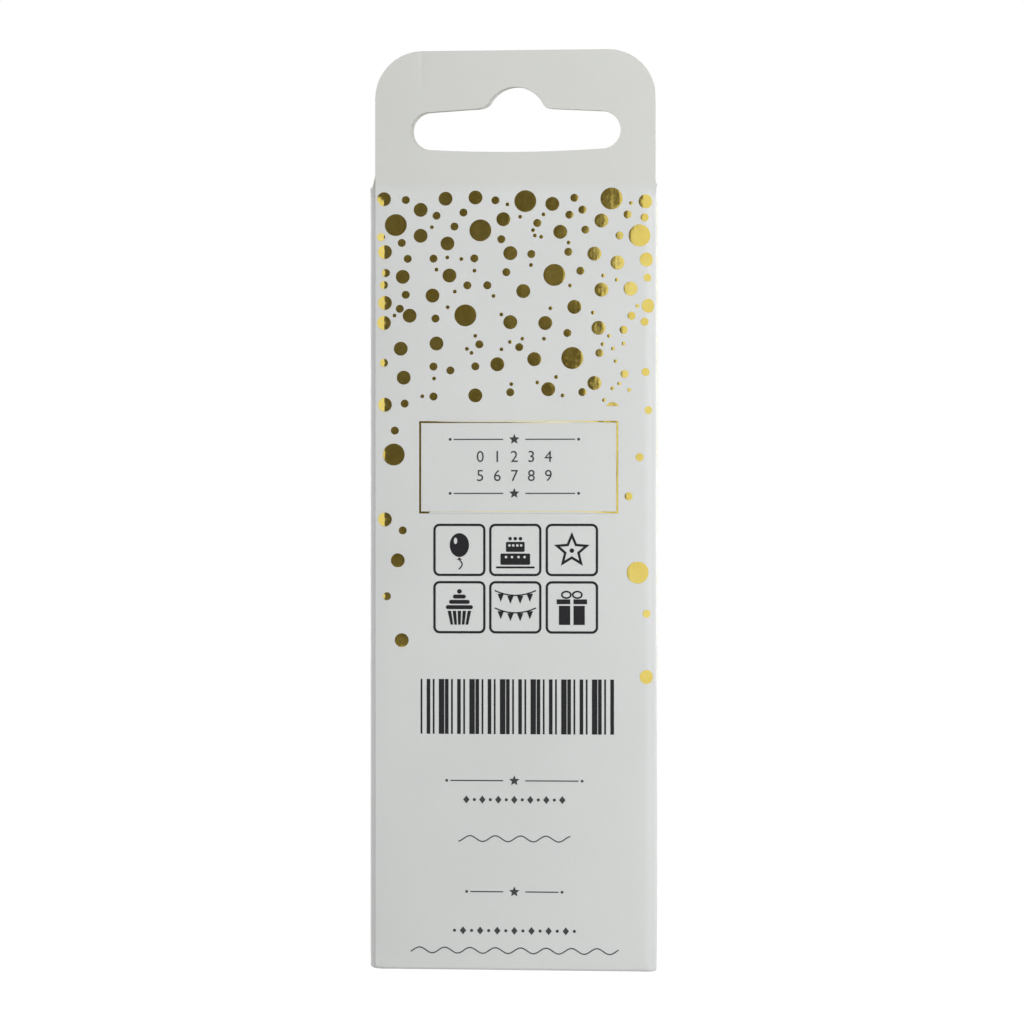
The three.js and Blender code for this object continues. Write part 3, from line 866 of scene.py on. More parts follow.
def bulge(along, z):
    """How far the sleeve's board stands out from flat at a place on it."""
    upright = crown(z - HEIGHT / 2, LID_SEAM - HEIGHT / 2, UPRIGHT_POWER)
    if along <= BACK_END:
        curl = EDGE_CURL * max(0.0, 1 - along / CURL_WIDTH) * eased(min(z, HEIGHT - z) / CURL_RUN_OUT)
        return upright * BACK_BULGE * crown(along + CUT_EDGE, FOLD_START) - curl - foot_roll(z)
    if along <= RIGHT_START:
        return -foot_roll(z) * (RIGHT_START - along) / BEND_LENGTH
    if along >= FIFTH_START:
        return BACK_BULGE * upright * crown(along - FIFTH_MIDDLE, FOLD_START)
    for start, end, height in (
        (RIGHT_START, RIGHT_END, SIDE_BULGE),
        (FRONT_START, FRONT_END, FRONT_BULGE),
        (LEFT_START, LEFT_END, SIDE_BULGE),
    ):
        if start < along < end:
            return height * upright * crown(along - (start + end) / 2, (end - start) / 2)
    return 0.0


def tab_share(along, z):
    """1 on the flat tab, 0 on the folded sleeve, and between them just below the tab."""
    if RIGHT_START <= along <= LEFT_END:
        return 0.0
    if z >= HEIGHT:
        return 1.0
    if along < TAB_END or along > INNER_TAB_START:
        near_fold = 1.0
    elif along < RIGHT_START:
        near_fold = eased((RIGHT_START - along) / (RIGHT_START - TAB_END))
    else:
        near_fold = eased((along - LEFT_END) / (INNER_TAB_START - LEFT_END))
    return near_fold**2 * eased((z - HEIGHT + TAB_EASE) / TAB_EASE)


def on_sleeve(along, z, lift=0.0):
    """The point at a length along the sleeve's unrolled outer face and a height, lift outside the face."""
    folded = SLEEVE.point(along, lift + bulge(along, z))
    share = tab_share(along, z)
    if share:
        inner = along > LEFT_END
        x = along - FIFTH_MIDDLE if inner else along + CUT_EDGE
        in_dent = math.exp(-(((x - DENT_X) / DENT_WIDTH) ** 2)) * eased((z - DENT_FOOT) / DENT_RUN)
        y = (fifth_low.y if inner else back_low.y) - lift + DENT_DEPTH * in_dent
        flat = complex(x, y)
        folded += share * (flat - folded)
    return (folded.real, folded.imag, z)


def slot_loop(middle):
    """The hang slot's outline about that middle."""
    z = HEIGHT + SLOT_RISE
    end_radius = SLOT_END_HEIGHT / 2
    left = middle - (SLOT_WIDTH / 2 - end_radius)
    right = middle + (SLOT_WIDTH / 2 - end_radius)
    rise = SLOT_MID_HEIGHT / 2
    top = z + rise
    hump_z = z + HUMP_RISE - HUMP_RADIUS
    foot = math.sqrt(HUMP_RADIUS**2 - (rise - HUMP_RISE + HUMP_RADIUS) ** 2)
    neck = HUMP_RADIUS * math.cos(HUMP_FOOT_ANGLE)
    neck_z = hump_z + HUMP_RADIUS * math.sin(HUMP_FOOT_ANGLE)
    sag = (middle, z + end_radius - 2 * rise)
    right_foot = (middle + foot + HUMP_FOOT_RIGHT, top)
    left_foot = (middle - foot - HUMP_FOOT_LEFT, top)
    return [
        *curve_through((left, z - end_radius), sag, (right, z - end_radius))[:-1],
        *arc((right, z), end_radius, -QUARTER, QUARTER),
        *curve_through(right_foot, (middle + foot, top), (middle + neck, neck_z))[:-1],
        *arc((middle, hump_z), HUMP_RADIUS, HUMP_FOOT_ANGLE, math.pi - HUMP_FOOT_ANGLE),
        *curve_through((middle - neck, neck_z), (middle - foot, top), left_foot)[1:],
        *arc((left, z), end_radius, QUARTER, 3 * QUARTER)[:-1],
    ]


def top_box(end, piece):
    """The piece's lowest and highest corners, as if it were at the top end."""
    low, high = box_mm(f"{end}_{piece}")
    if end == "top":
        return low, high
    return Vector((low.x, -high.y, HEIGHT - high.z)), Vector((high.x, -low.y, HEIGHT - low.z))


def notch(first, last, edge, seam):
    return [(first, edge), (first, seam), (last, seam), (last, edge)]


def dust_notch(end, middle, way):
    """The step in a side panel's edge where its dust flap starts. way is the sense of Y along the path."""
    low, _ = top_box(end, "dust_flap_right")
    face = way if end == "top" else -way
    first, last = sorted(middle + face * y for y in (low.y, DUST_ROOT))
    if end == "top":
        return notch(last, first, SIDE_TOP, DUST_SEAM)
    return notch(first, last, SIDE_FOOT, HEIGHT - DUST_SEAM)


def sleeve_outline():
    """The sleeve's flat outline, round from the back panel's lower cut corner."""
    back_middle = -CUT_EDGE
    tab_middle = FIFTH_MIDDLE + TAB_SHIFT
    tab_start = tab_middle - INNER_TAB_HALF
    tab_end = tab_middle + INNER_TAB_HALF
    flare_run = INNER_TAB_START - tab_middle + INNER_TAB_HALF
    flare = [
        (tab_start + flare_run * t**FLARE_POWER, HEIGHT + TAB_FLARE * (1 - t))
        for t in steps(0, 1, 1 / FLARE_STEPS)
    ]
    right_middle = (RIGHT_START + RIGHT_END) / 2
    left_middle = LEFT_START + HALF_DEPTH - FOLD_RADIUS
    corner_z = TAB_TOP - TAB_CORNER
    right_top = (RIGHT_START - FOOT_RUN, SIDE_TOP)
    return [
        *arc((CUT_CORNER, CUT_CORNER), CUT_CORNER, 2 * QUARTER, 3 * QUARTER),
        *notch(back_middle - LID_HINGE_HALF, back_middle + LID_HINGE_HALF, 0, HEIGHT - LID_SEAM),
        (RIGHT_START - FOOT_RUN, 0),
        (RIGHT_START, SIDE_FOOT),
        *dust_notch("bottom", right_middle, 1),
        (FRONT_START - FOOT_RUN, SIDE_FOOT),
        (FRONT_START, 0),
        (FRONT_END, 0),
        (FRONT_END + FOOT_RUN, SIDE_FOOT),
        *dust_notch("bottom", left_middle, -1),
        (LEFT_END, SIDE_FOOT),
        (LEFT_FOOT_TURN, LEFT_FOOT),
        (FIFTH_START, LEFT_FOOT),
        (FIFTH_START + FOOT_RUN, fifth_low.z),
        (FIFTH_END, fifth_low.z),
        (FIFTH_END, HEIGHT),
        (tab_end, HEIGHT),
        *arc((tab_end - TAB_CORNER, corner_z), TAB_CORNER, 0, QUARTER),
        *arc((tab_start + TAB_CORNER, corner_z), TAB_CORNER, QUARTER, 2 * QUARTER),
        *flare,
        (LEFT_END + FOOT_RUN, SIDE_TOP),
        *dust_notch("top", left_middle, -1),
        (FRONT_END + FOOT_RUN, SIDE_TOP),
        (FRONT_END, HEIGHT),
        *notch(FRONT_MIDDLE + LID_HINGE_HALF, FRONT_MIDDLE - LID_HINGE_HALF, HEIGHT, LID_SEAM),
        (FRONT_START, HEIGHT),
        (FRONT_START - FOOT_RUN, SIDE_TOP),
        *dust_notch("top", right_middle, 1),
        *curve_through(right_top, (TAB_END, SIDE_TOP), (TAB_END, HEIGHT + OUTER_FLARE)),
        *arc((TAB_END - TAB_CORNER, corner_z), TAB_CORNER, 0, QUARTER),
        *arc((TAB_CORNER, corner_z), TAB_CORNER, QUARTER, 2 * QUARTER),
    ]


def window_loop(gap=0.0):
    """The window's outline, or one that much outside it."""
    left, right = FRONT_MIDDLE - WINDOW_HALF - gap, FRONT_MIDDLE + WINDOW_HALF + gap
    return rounded_rectangle(left, WINDOW_FOOT - gap, right, WINDOW_TOP + gap, WINDOW_CORNER + gap)


def sleeve():
    holes = [
        slot_loop(SLOT_MIDDLE - CUT_EDGE),
        slot_loop(FIFTH_MIDDLE + SLOT_MIDDLE + PLY_SHIFT),
        window_loop(),
    ]
    ease_foot = HEIGHT - TAB_EASE
    rows = steps(0, CREASE_REACH, CREASE_REACH / CREASE_ROWS)[:-1]
    rows += steps(CREASE_REACH, ease_foot, FLAT_STEP)
    rows += steps(ease_foot, HEIGHT, TAB_EASE / EASE_ROWS)[1:]
    rows += steps(HEIGHT, TAB_TOP, FLAT_STEP)[1:]
    by_dent = [DENT_WIDTH * i / 2 for i in range(-DENT_COLUMNS, DENT_COLUMNS + 1)]
    dents = [middle + DENT_X + x for middle in (-CUT_EDGE, FIFTH_MIDDLE) for x in by_dent]
    columns = sorted(SLEEVE.columns() + dents)
    made = board_object("folded_sleeve", sleeve_outline(), holes, columns, rows, on_sleeve, BOARD_MATERIALS)
    panels = ("back_panel", "fifth_panel", "left_side_panel", "right_side_panel", "front_panel")
    stands_for(made, "printed_board", *panels)


def window_film():
    left = FRONT_MIDDLE + film_low.x
    right = FRONT_MIDDLE + film_high.x
    made = board_object(
        "clear_window_film",
        rectangle(left, film_low.z, right, film_high.z),
        [],
        steps(left, right, FLAT_STEP),
        steps(film_low.z, film_high.z, FLAT_STEP),
        lambda u, v, lift: on_sleeve(u, v, lift - BOARD),
        [clear_film()] * 3,
        film_high.y - film_low.y - FILM_SLACK,
    )
    stands_for(made, "film", "window_film")


# Closing flaps


def at_end(end, x, y, z):
    """A point of the top end as the same one of that end."""
    return (x, y, z) if end == "top" else (x, -y, HEIGHT - z)


def joint_height(end):
    """Height of that end's tuck crease, as if it were at the top."""
    z = next(j["pos_m"][2] for j in frame["joints"] if j["name"] == f"{end}_tuck_crease") / MM
    return z if end == "top" else HEIGHT - z


def bend_across(piece, parent, child, path, crease, to_frame):
    """Bakes the piece's placing into its mesh and works out the ends of its crease, from its path's start
    to where the crease ends, which nothing uses. The parent and child are not used.
    """
    middles = [path.point(v, -PLY / 2) for v in (0, crease)]
    way = (middles[1] - middles[0]) / abs(middles[1] - middles[0])

    def reach(place):
        return (place * way.conjugate()).real

    first = max((path.point(0, lift) for lift in (0, -PLY)), key=reach)
    last = min(reach(path.point(crease, lift)) for lift in (0, -PLY))
    finish = first + way * (last - reach(first))
    first_point, finish_point = (Vector(to_frame(p)) * MM for p in (first, finish))
    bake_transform(piece)
    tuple(first_point)
    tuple(finish_point)


def flap(end, piece, bodies, outline, path, crease, across, materials):
    """One closing flap with its crease. across(u, p) gives the top end's point from a path point p."""

    def in_frame(u, p):
        return at_end(end, *across(u, p))

    made = strip_object(f"folded_{end}_{piece}", outline, [], path, in_frame, materials)
    bend_across(made, *bodies, path, crease, lambda p: in_frame(0, p))
    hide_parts(f"{end}_{piece}")


def lengthwise(u, p):
    return (u, p.real, p.imag)


def creased_path(x, z, flat):
    """The path of a flap that starts upright at that place: lead, crease and flat."""
    return FoldedPath(complex(x, z), 1j, [(CREASE_LEAD, 0), (CREASE_BEND, QUARTER), (flat, 0)])


def lid(end, tuck_start):
    """The lid, from the sleeve's seam to where the tuck flap starts."""
    half = top_box(end, "lid")[1].x
    path = creased_path(HALF_DEPTH, LID_SEAM, HALF_DEPTH - CREASE_REACH - tuck_start)
    side = curve_through((LID_HINGE_HALF, CREASE_END), (half, CREASE_END), (half, LID_WIDENING))
    outline = [
        (-LID_HINGE_HALF, 0),
        (LID_HINGE_HALF, 0),
        *side,
        (half, path.length),
        (-half, path.length),
        *[(-u, v) for u, v in reversed(side)],
    ]
    bodies = ("carton", f"{end}_lid")
    flap(end, "lid", bodies, outline, path, CREASE_END, lengthwise, BOARD_MATERIALS)
    return path


def tuck_flap(end, start, bend, turn, run):
    """The tuck flap, whose bend starts at that Y and is followed by a flat run."""
    half = top_box(end, "tuck_flap")[1].x
    tip = bend + run
    path = FoldedPath(complex(start, HEIGHT), -1 + 0j, [(bend, turn), (run, 0)])
    outline = [
        (-half, 0),
        (half, 0),
        *arc((half - TUCK_CORNER, tip - TUCK_CORNER), TUCK_CORNER, 0, QUARTER),
        *arc((-half + TUCK_CORNER, tip - TUCK_CORNER), TUCK_CORNER, QUARTER, 2 * QUARTER),
    ]
    bodies = (f"{end}_lid", f"{end}_tuck")
    flap(end, "tuck_flap", bodies, outline, path, bend, lengthwise, BOARD_MATERIALS)


def dust_flaps(end, lean):
    """The two dust flaps, whose edge beside the tuck flap leans as that flap does."""
    low, high = top_box(end, "dust_flap_right")
    path = creased_path(HALF_WIDTH, DUST_SEAM, HALF_WIDTH - CREASE_REACH - low.x)
    tip = path.length
    tip_y = low.y + (tip - CREASE_END) * math.tan(lean)
    leaning = (tip_y - DUST_TIP * math.sin(lean), tip - DUST_TIP * math.cos(lean))
    outline = [
        (low.y, 0),
        (DUST_ROOT, 0),
        (DUST_ROOT, CREASE_END),
        (high.y, CREASE_END + DUST_RELIEF),
        *curve_through((high.y, tip - DUST_TIP), (high.y, tip), (high.y - DUST_TIP, tip)),
        *curve_through((tip_y + DUST_TIP, tip), (tip_y, tip), leaning),
        (low.y, CREASE_END),
    ]
    for name, way in (("left", -1), ("right", 1)):
        bodies = ("carton", f"{end}_dust_{name}")

        def across(u, p, way=way):
            return (way * p.real, u, p.imag)

        piece = f"dust_flap_{name}"
        flap(end, piece, bodies, outline, path, CREASE_END, across, (LINER, LINER, CUT))


def closure(end):
    """The flaps of one end. The tuck flap's crease follows from its joint and its flap's lean."""
    low, high = top_box(end, "tuck_flap")
    crease_z = joint_height(end)
    drop = HEIGHT - crease_z
    flap_drop = crease_z - low.z
    lean = math.atan2(high.y - low.y - BOARD, flap_drop)
    turn = QUARTER + lean
    tangent = drop / math.cos(lean)
    tuck_start = top_box(end, "lid")[0].y - drop * math.tan(lean) + tangent
    lid_path = lid(end, tuck_start)
    if end == "top":
        lid_confetti(lid_path)
    tuck_flap(end, tuck_start, tangent / math.tan(turn / 2) * turn, turn, flap_drop / math.cos(lean))
    dust_flaps(end, lean)


# Insert, candle and pick


def insert_card():
    """The folded insert: upper shelf, back, lower shelf and apron in one strip of card."""
    outer, inner = INSERT_FOLD, INSERT_FOLD - CARD_THICKNESS
    apron_y = insert_high.y - CARD_THICKNESS
    shelf_foot = SHELF_TOP - CARD_THICKNESS
    upper_run = insert_high.y - insert_low.y - outer
    back_run = insert_high.z - shelf_foot - 2 * outer
    lower_run = apron_y - inner - insert_low.y - outer
    apron_run = shelf_foot - inner - insert_low.z
    stretches = [
        (upper_run, 0),
        (outer * QUARTER, QUARTER),
        (back_run, 0),
        (outer * QUARTER, QUARTER),
        (lower_run, 0),
        (inner * QUARTER, -QUARTER),
        (apron_run, 0),
    ]
    path = FoldedPath(complex(insert_high.y, insert_high.z), -1 + 0j, stretches)
    lower_start = upper_run + back_run + 2 * outer * QUARTER
    half = insert_high.x
    pick_v = lower_start + CANDLE_Y - insert_low.y - outer
    pick_u, pick_reach = PICK_HOLE_WIDTH / 2, PICK_HOLE_DEPTH / 2
    holes = [
        oval(0, insert_high.y - CANDLE_Y, WICK_HOLE_RADIUS, WICK_HOLE_RADIUS),
        rectangle(-pick_u, pick_v - pick_reach, pick_u, pick_v + pick_reach),
    ]
    outline = rectangle(-half, 0, half, path.length)
    look = ((CARD, CARD, CUT), CARD_THICKNESS)
    made = strip_object("folded_insert_card", outline, holes, path, lengthwise, *look)
    stands_for(made, "insert_card", "insert_card")


def stroke_section():
    """Half of the numeral's section as (distance from the stroke's middle, depth), a soft superellipse."""
    points = []
    for angle in steps(-QUARTER, QUARTER, SECTION_STEP):
        across = abs(math.cos(angle)) ** (2 / STROKE_POWER) * NUMERAL_STROKE / 2
        depth = math.copysign(abs(math.sin(angle)) ** (2 / STROKE_POWER), angle) * NUMERAL_THICKNESS / 2
        points.append((across, depth))
    return points


def round_end(section, x, z):
    """The stroke's round end about that place: its half section turned round, with a point at each pole."""
    turns = steps(0, TURN, ARC_STEP)[:-1]
    sides = len(section)
    points = [
        (x + across * math.cos(turn), CANDLE_Y + depth, z + across * math.sin(turn))
        for turn in turns
        for across, depth in section
    ]
    starts = [i * sides for i in range(len(turns))]
    faces = [(a + k, a + k + 1, b + k + 1, b + k) for a, b in sides_of(starts) for k in range(sides - 1)]
    for depth, k in ((-NUMERAL_THICKNESS / 2, 0), (NUMERAL_THICKNESS / 2, sides - 1)):
        faces += [(len(points), a + k, b + k) for a, b in sides_of(starts)]
        points.append((x, CANDLE_Y + depth, z))
    return points, faces


def bowl(radius, centre_z, start, end):
    """The parts of the stroke along an arc of a bowl: its length and its round ends. Angles are from -X."""
    half = stroke_section()
    ring = half + [(-across, depth) for across, depth in reversed(half[1:-1])]
    angles = steps(start, end, BOWL_STEP)
    points = []
    for angle in angles:
        for across, depth in ring:
            r = radius + across
            points.append((-r * math.cos(angle), CANDLE_Y + depth, centre_z + r * math.sin(angle)))
    ends = [
        round_end(half[1:-1], -radius * math.cos(angle), centre_z + radius * math.sin(angle))
        for angle in (start, end)
    ]
    return [(points, tube_faces(len(angles), len(ring))), *ends]


def turned_solid(profile):
    """A solid of revolution about the candle's upright axis, from (radius, height) pairs."""
    points = [
        (radius * math.cos(a), CANDLE_Y + radius * math.sin(a), z)
        for radius, z in profile
        for a in steps(0, TURN, TURN / TURNED_SIDES)[:-1]
    ]
    return points, tube_faces(len(profile), TURNED_SIDES)


def candle():
    lower_radius = -numeral_low.x - NUMERAL_STROKE / 2
    height = numeral_high.z - numeral_low.z + FOOT_TRIM
    upper_radius = (height - NUMERAL_STROKE) / 2 - lower_radius
    lower_z = numeral_low.z - FOOT_TRIM + NUMERAL_STROKE / 2 + lower_radius
    upper_z = lower_z + lower_radius + upper_radius
    parts = [
        *bowl(lower_radius, lower_z, -BOWL_END, WAIST_END),
        *bowl(upper_radius, upper_z, -WAIST_END, BOWL_END),
        turned_solid([(radius, numeral_high.z + rise) for radius, rise in COLLAR]),
    ]
    rough = mesh_object("rough_numeral", *joined(parts), [gold_wax()])
    remesh = rough.modifiers.new("whole", "REMESH")
    remesh.mode = "VOXEL"
    remesh.voxel_size = WAX_VOXEL * MM
    smooth = rough.modifiers.new("soft", "SMOOTH")
    smooth.factor = WAX_SOFTENING
    smooth.iterations = WAX_SOFTENINGS
    made = evaluated(rough, "wax_numeral", WAX_SHARP)
    for vertex in made.data.vertices:
        vertex.co.z = max(vertex.co.z, numeral_low.z * MM)
    stands_for(made, "gold_wax", "candle_body")


def tube(centres, radius, sides):
    points = []
    for i, centre in enumerate(centres):
        way = (centres[min(i + 1, len(centres) - 1)] - centres[max(i - 1, 0)]).normalized()
        across = way.cross(Vector((0, 1, 0))).normalized()
        other = way.cross(across)
        for a in steps(0, TURN, TURN / sides)[:-1]:
            points.append(tuple(centre + radius * (math.cos(a) * across + math.sin(a) * other)))
    return points, tube_faces(len(centres), sides)


def wick():
    """Cotton strands laid round each other, a little frayed at the end."""
    parts = []
    run = wick_high.z - wick_low.z
    turns = run / WICK_PITCH
    for strand in range(WICK_STRANDS):
        centres = []
        for z in steps(wick_low.z, wick_high.z, WICK_STEP):
            share = (z - wick_low.z) / run
            angle = TURN * (turns * share + strand / WICK_STRANDS)
            fray = max(0.0, share - WICK_FRAY_START) / (1 - WICK_FRAY_START)
            spread = WICK_SPREAD * (1 + WICK_FRAY * fray)
            centres.append(Vector((spread * math.cos(angle), CANDLE_Y + spread * math.sin(angle), z)))
        parts.append(tube(centres, WICK_STRAND, STRAND_SIDES))
    made = mesh_object("braided_wick", *joined(parts), [cotton()])
    stands_for(made, "wick_cotton", "wick")


def prism(outline, depth):
    """A solid from an outline in X and Z, about the candle's Y."""
    count = len(outline)
    points = [(x, CANDLE_Y + side * depth / 2, z) for side in (-1, 1) for x, z in outline]
    faces = [tuple(range(count)), tuple(range(count, 2 * count))[::-1]]
    return points, faces + wall(0, count, count)


def blade_outline(width, foot):
    half, shoulder = width / 2, foot + BLADE_TIP
    return [
        (-PICK_POINT / 2, foot),
        (PICK_POINT / 2, foot),
        (half, shoulder),
        (half, FLANGE_MIDDLE),
        (-half, FLANGE_MIDDLE),
        (-half, shoulder),
    ]


def pick():
    """The moulded pick: flange, tang, and a blade with a rib on each face."""
    plastic = moulded_plastic()
    rib, rib_faces = prism(blade_outline(RIB_DEPTH, pick_low.z + RIB_RISE), RIB_THICKNESS)
    rib = [(y - CANDLE_Y, CANDLE_Y + x, z) for x, y, z in rib]
    half, tang_half = FLANGE_WIDTH / 2, TANG_WIDTH / 2
    flange = rectangle(-half, SHELF_TOP, half, SHELF_TOP + FLANGE_THICKNESS)
    tang = rectangle(-tang_half, FLANGE_MIDDLE, tang_half, pick_high.z)
    blade = prism(blade_outline(BLADE_WIDTH, pick_low.z), BLADE_THICKNESS)
    base = mesh_object("pick_blade", *blade, [plastic])
    others = [
        mesh_object("pick_rib", rib, rib_faces, [plastic]),
        mesh_object("pick_flange", *prism(flange, FLANGE_DEPTH), [plastic]),
        mesh_object("pick_tang", *prism(tang, TANG_DEPTH), [plastic]),
    ]
    for other in others:
        union = base.modifiers.new(other.name, "BOOLEAN")
        union.operation = "UNION"
        union.object = other
    rounding = base.modifiers.new("edges", "BEVEL")
    rounding.width = PICK_EDGE * MM
    rounding.segments = 3
    made = evaluated(base, "moulded_pick", PICK_SHARP)
    for other in others:
        bpy.data.objects.remove(other)
    stands_for(made, "pick_plastic", "pick")


# Print


def px_to_panel(x, y):
    """A place on the photograph as one on the sleeve's path: (along, z)."""
    return ((x - CUT_EDGE_PX) / PX_PER_MM, (PANEL_FOOT_PX - y) / PX_PER_MM)


def panel_box(left, top, right, foot):
    """A box on the photograph as one on the sleeve's path: left, foot, right and top."""
    return (*px_to_panel(left, foot), *px_to_panel(right, top))


def about(along, z):
    """Where a patch drawn in millimetres about a place on the sleeve's path lies."""
    return lambda u, v, lift: on_sleeve(along + u, z + v, lift)


def on_panel(x_px, y_px):
    return about(*px_to_panel(x_px, y_px))


def puck(loops, place, lift, step=PRINT_STEP):
    """A thin closed patch of print from a loop and its holes, as points and faces."""
    fine = [
        [
            (a[0] + (b[0] - a[0]) * share, a[1] + (b[1] - a[1]) * share)
            for a, b in sides_of(loop)
            for share in steps(0, 1, min(1.0, step / max(HAIR, math.dist(a, b))))[:-1]
        ]
        for loop in loops
    ]
    flat = [p for loop in fine for p in loop]
    count = len(flat)
    triangles = tessellate_polygon([[Vector((*p, 0)) for p in loop] for loop in fine])
    faces = [tuple(t) for t in triangles]
    faces += [tuple(count + i for i in reversed(t)) for t in triangles]
    first = 0
    for loop in fine:
        faces += wall(first, len(loop), count)
        first += len(loop)
    return [place(u, v, depth) for depth in (lift, -PRINT_SINK) for u, v in flat], faces


def pucks(shapes, place, lift):
    return [puck(shape, place, lift) for shape in shapes]


def disc(centre, rings, sides, place):
    """A round face as points and faces: its middle, and rings given as (radius, lift)."""
    points = [place(*centre, rings[0][1])]
    for radius, lift in rings:
        for a in steps(0, TURN, TURN / sides)[:-1]:
            points.append(place(centre[0] + radius * math.cos(a), centre[1] + radius * math.sin(a), lift))
    faces = [(0, a, b) for a, b in ring_sides(1, sides)]
    for ring in range(len(rings) - 1):
        faces += [(a, a + sides, b + sides, b) for a, b in ring_sides(1 + ring * sides, sides)]
    return points, faces


def dot(centre, radius, place, lift):
    """A round patch with inner rings, so that it follows a fold, and a rim that slopes to the board."""
    sides = TINY_DOT_SIDES if radius < SMALL_DOT else DOT_SIDES
    flat_rings = max(1, round(radius / DOT_RING))
    flat_radius = radius - min(RIM_WIDTH, RIM_SHARE * radius)
    radii = [flat_radius * ring / flat_rings for ring in range(1, flat_rings + 1)]
    discs = [
        disc(centre, [*((r, depth) for r in radii), (radius, rim_depth)], sides, place)
        for depth, rim_depth in ((lift, lift - RIM_DROP), (-PRINT_SINK, -PRINT_SINK))
    ]
    points, faces = joined(discs)
    half = len(points) // 2
    return points, faces + wall(half - sides, sides, half)


def above(loop, foot):
    """The part of a loop that is above a height."""
    kept = []
    for (x0, z0), (x1, z1) in sides_of(loop):
        if z0 >= foot:
            kept.append((x0, z0))
        if (z0 >= foot) != (z1 >= foot):
            kept.append((x0 + (x1 - x0) * (foot - z0) / (z1 - z0), foot))
    return kept


def shifted(line, distance, closed):
    """The line moved sideways, to its left, by a distance that sharp corners may exceed up to a limit."""
    places = [complex(*p) for p in line]
    moved = []
    for i, here in enumerate(places):
        before = places[i - 1] if closed or i else here
        after = places[(i + 1) % len(places)] if closed or i + 1 < len(places) else here
        ways = [way / abs(way) for way in (here - before, after - here) if way]
        left = 1j * sum(ways) / abs(sum(ways))
        here += left * distance / max(MITRE_LIMIT, (left * (1j * ways[0]).conjugate()).real)
        moved.append((here.real, here.imag))
    return moved


def band(loop, width):
    """A line of even width round a closed loop: the outer and the inner loop."""
    return [shifted(loop, -width / 2, True), shifted(loop, width / 2, True)]


def stroke(line, width):
    """A line of even width along an open line."""
    return [shifted(line, width / 2, False) + shifted(line, -width / 2, False)[::-1]]


def star(radius, x=0.0, z=0.0):
    """A star of five points."""
    turns = [QUARTER + TURN * i / 10 for i in range(10)]
    reach = [radius * STAR_HOLLOW if i % 2 else radius for i in range(10)]
    return [(x + r * math.cos(a), z + r * math.sin(a)) for r, a in zip(reach, turns)]


# Party motifs, each a list of shapes of an outer loop and its holes, about a box's middle


def balloon_motif():
    return [
        [oval(0, 0.75, 1.5, 1.85), oval(-0.6, 1.4, 0.26, 0.5)],
        [[(-0.4, -1.55), (0.4, -1.55), (0, -1.15)]],
        stroke(curve_through((0, -1.6), (0.9, -2.2), (-0.1, -3.0)), THIN_LINE),
    ]


def gift_motif():
    shapes = [band(oval(side * 0.85, 1.95, 0.7, 0.5), LOOP_LINE) for side in (-1, 1)]
    for side in (-1, 1):
        for reach, foot, top in ((2.0, -2.7, 0.25), (2.35, 0.5, 1.25)):
            left, right = sorted((side * 0.25, side * reach))
            shapes.append([rectangle(left, foot, right, top)])
    return shapes


def star_motif():
    return [[star(2.9, 0, -0.1), star(1.9, 0, -0.1)[::-1]], [oval(0, -0.1, 0.35, 0.35)]]


def cupcake_motif():
    shapes = [
        [rounded_rectangle(-half, foot, half, foot + 0.62, 0.3)]
        for half, foot in ((2.1, -0.3), (1.6, 0.52), (1.0, 1.34))
    ]
    for i in range(5):
        top, foot = (i - 2) * 0.78, (i - 2) * 0.58
        shapes.append([[(foot - 0.2, -2.7), (foot + 0.2, -2.7), (top + 0.27, -0.55), (top - 0.27, -0.55)]])
    return [*shapes, [oval(0, 2.45, 0.36, 0.36)]]


def bunting_motif():
    shapes = []
    for top in (2.0, -0.7):
        line = curve_through((-3.2, top + 0.6), (0, top - 0.9), (3.2, top + 0.6))
        shapes.append(stroke(line, THIN_LINE))
        for i in range(4):
            x = (i - 1.5) * 1.5
            z = top - 0.25 + 0.14 * x * x / 2
            shapes.append([[(x - 0.5, z), (x + 0.5, z), (x, z - 1.25)]])
    return shapes


def cake_motif():
    shapes = [
        [rounded_rectangle(-half, foot, half, top, 0.2)]
        + [oval(x * half / 3.2, top - 0.55, 0.2, 0.2) for x in (-2, -0.7, 0.7, 2)]
        for half, foot, top in ((2.3, -2.3, -0.55), (1.45, -0.3, 1.25))
    ]
    shapes.append([rounded_rectangle(-3.0, -2.85, 3.0, -2.55, 0.14)])
    return shapes + [[oval(x, 1.75, 0.27, 0.27)] for x in (-0.8, 0, 0.8)]


# Ornaments, each about its middle and as wide as twice its half


def rule_ornament(half):
    """A star between two thin rules with dots at their ends."""
    shapes = [[star(0.85)]]
    for side in (-1, 1):
        left, right = sorted((side * 1.7, side * (half - 0.9)))
        shapes.append([rounded_rectangle(left, -0.09, right, 0.09, 0.08)])
        shapes.append([oval(side * (half - 0.35), 0, 0.22, 0.22)])
    return shapes


def dot_ornament(half):
    """Dots and lozenges by turns."""
    count = round(half / 1.25)
    shapes = []
    for i in range(-count, count + 1):
        x = i * half / count
        lozenge = [(x - 0.5, 0), (x, -0.62), (x + 0.5, 0), (x, 0.62)]
        shapes.append([oval(x, 0, 0.24, 0.24) if i % 2 else lozenge])
    return shapes


def wave_ornament(half):
    """A thin wave."""
    line = [(x, 0.45 * math.sin(x * 1.6)) for x in steps(-half, half, WAVE_STEP)]
    return [stroke(line, WAVE_LINE)]


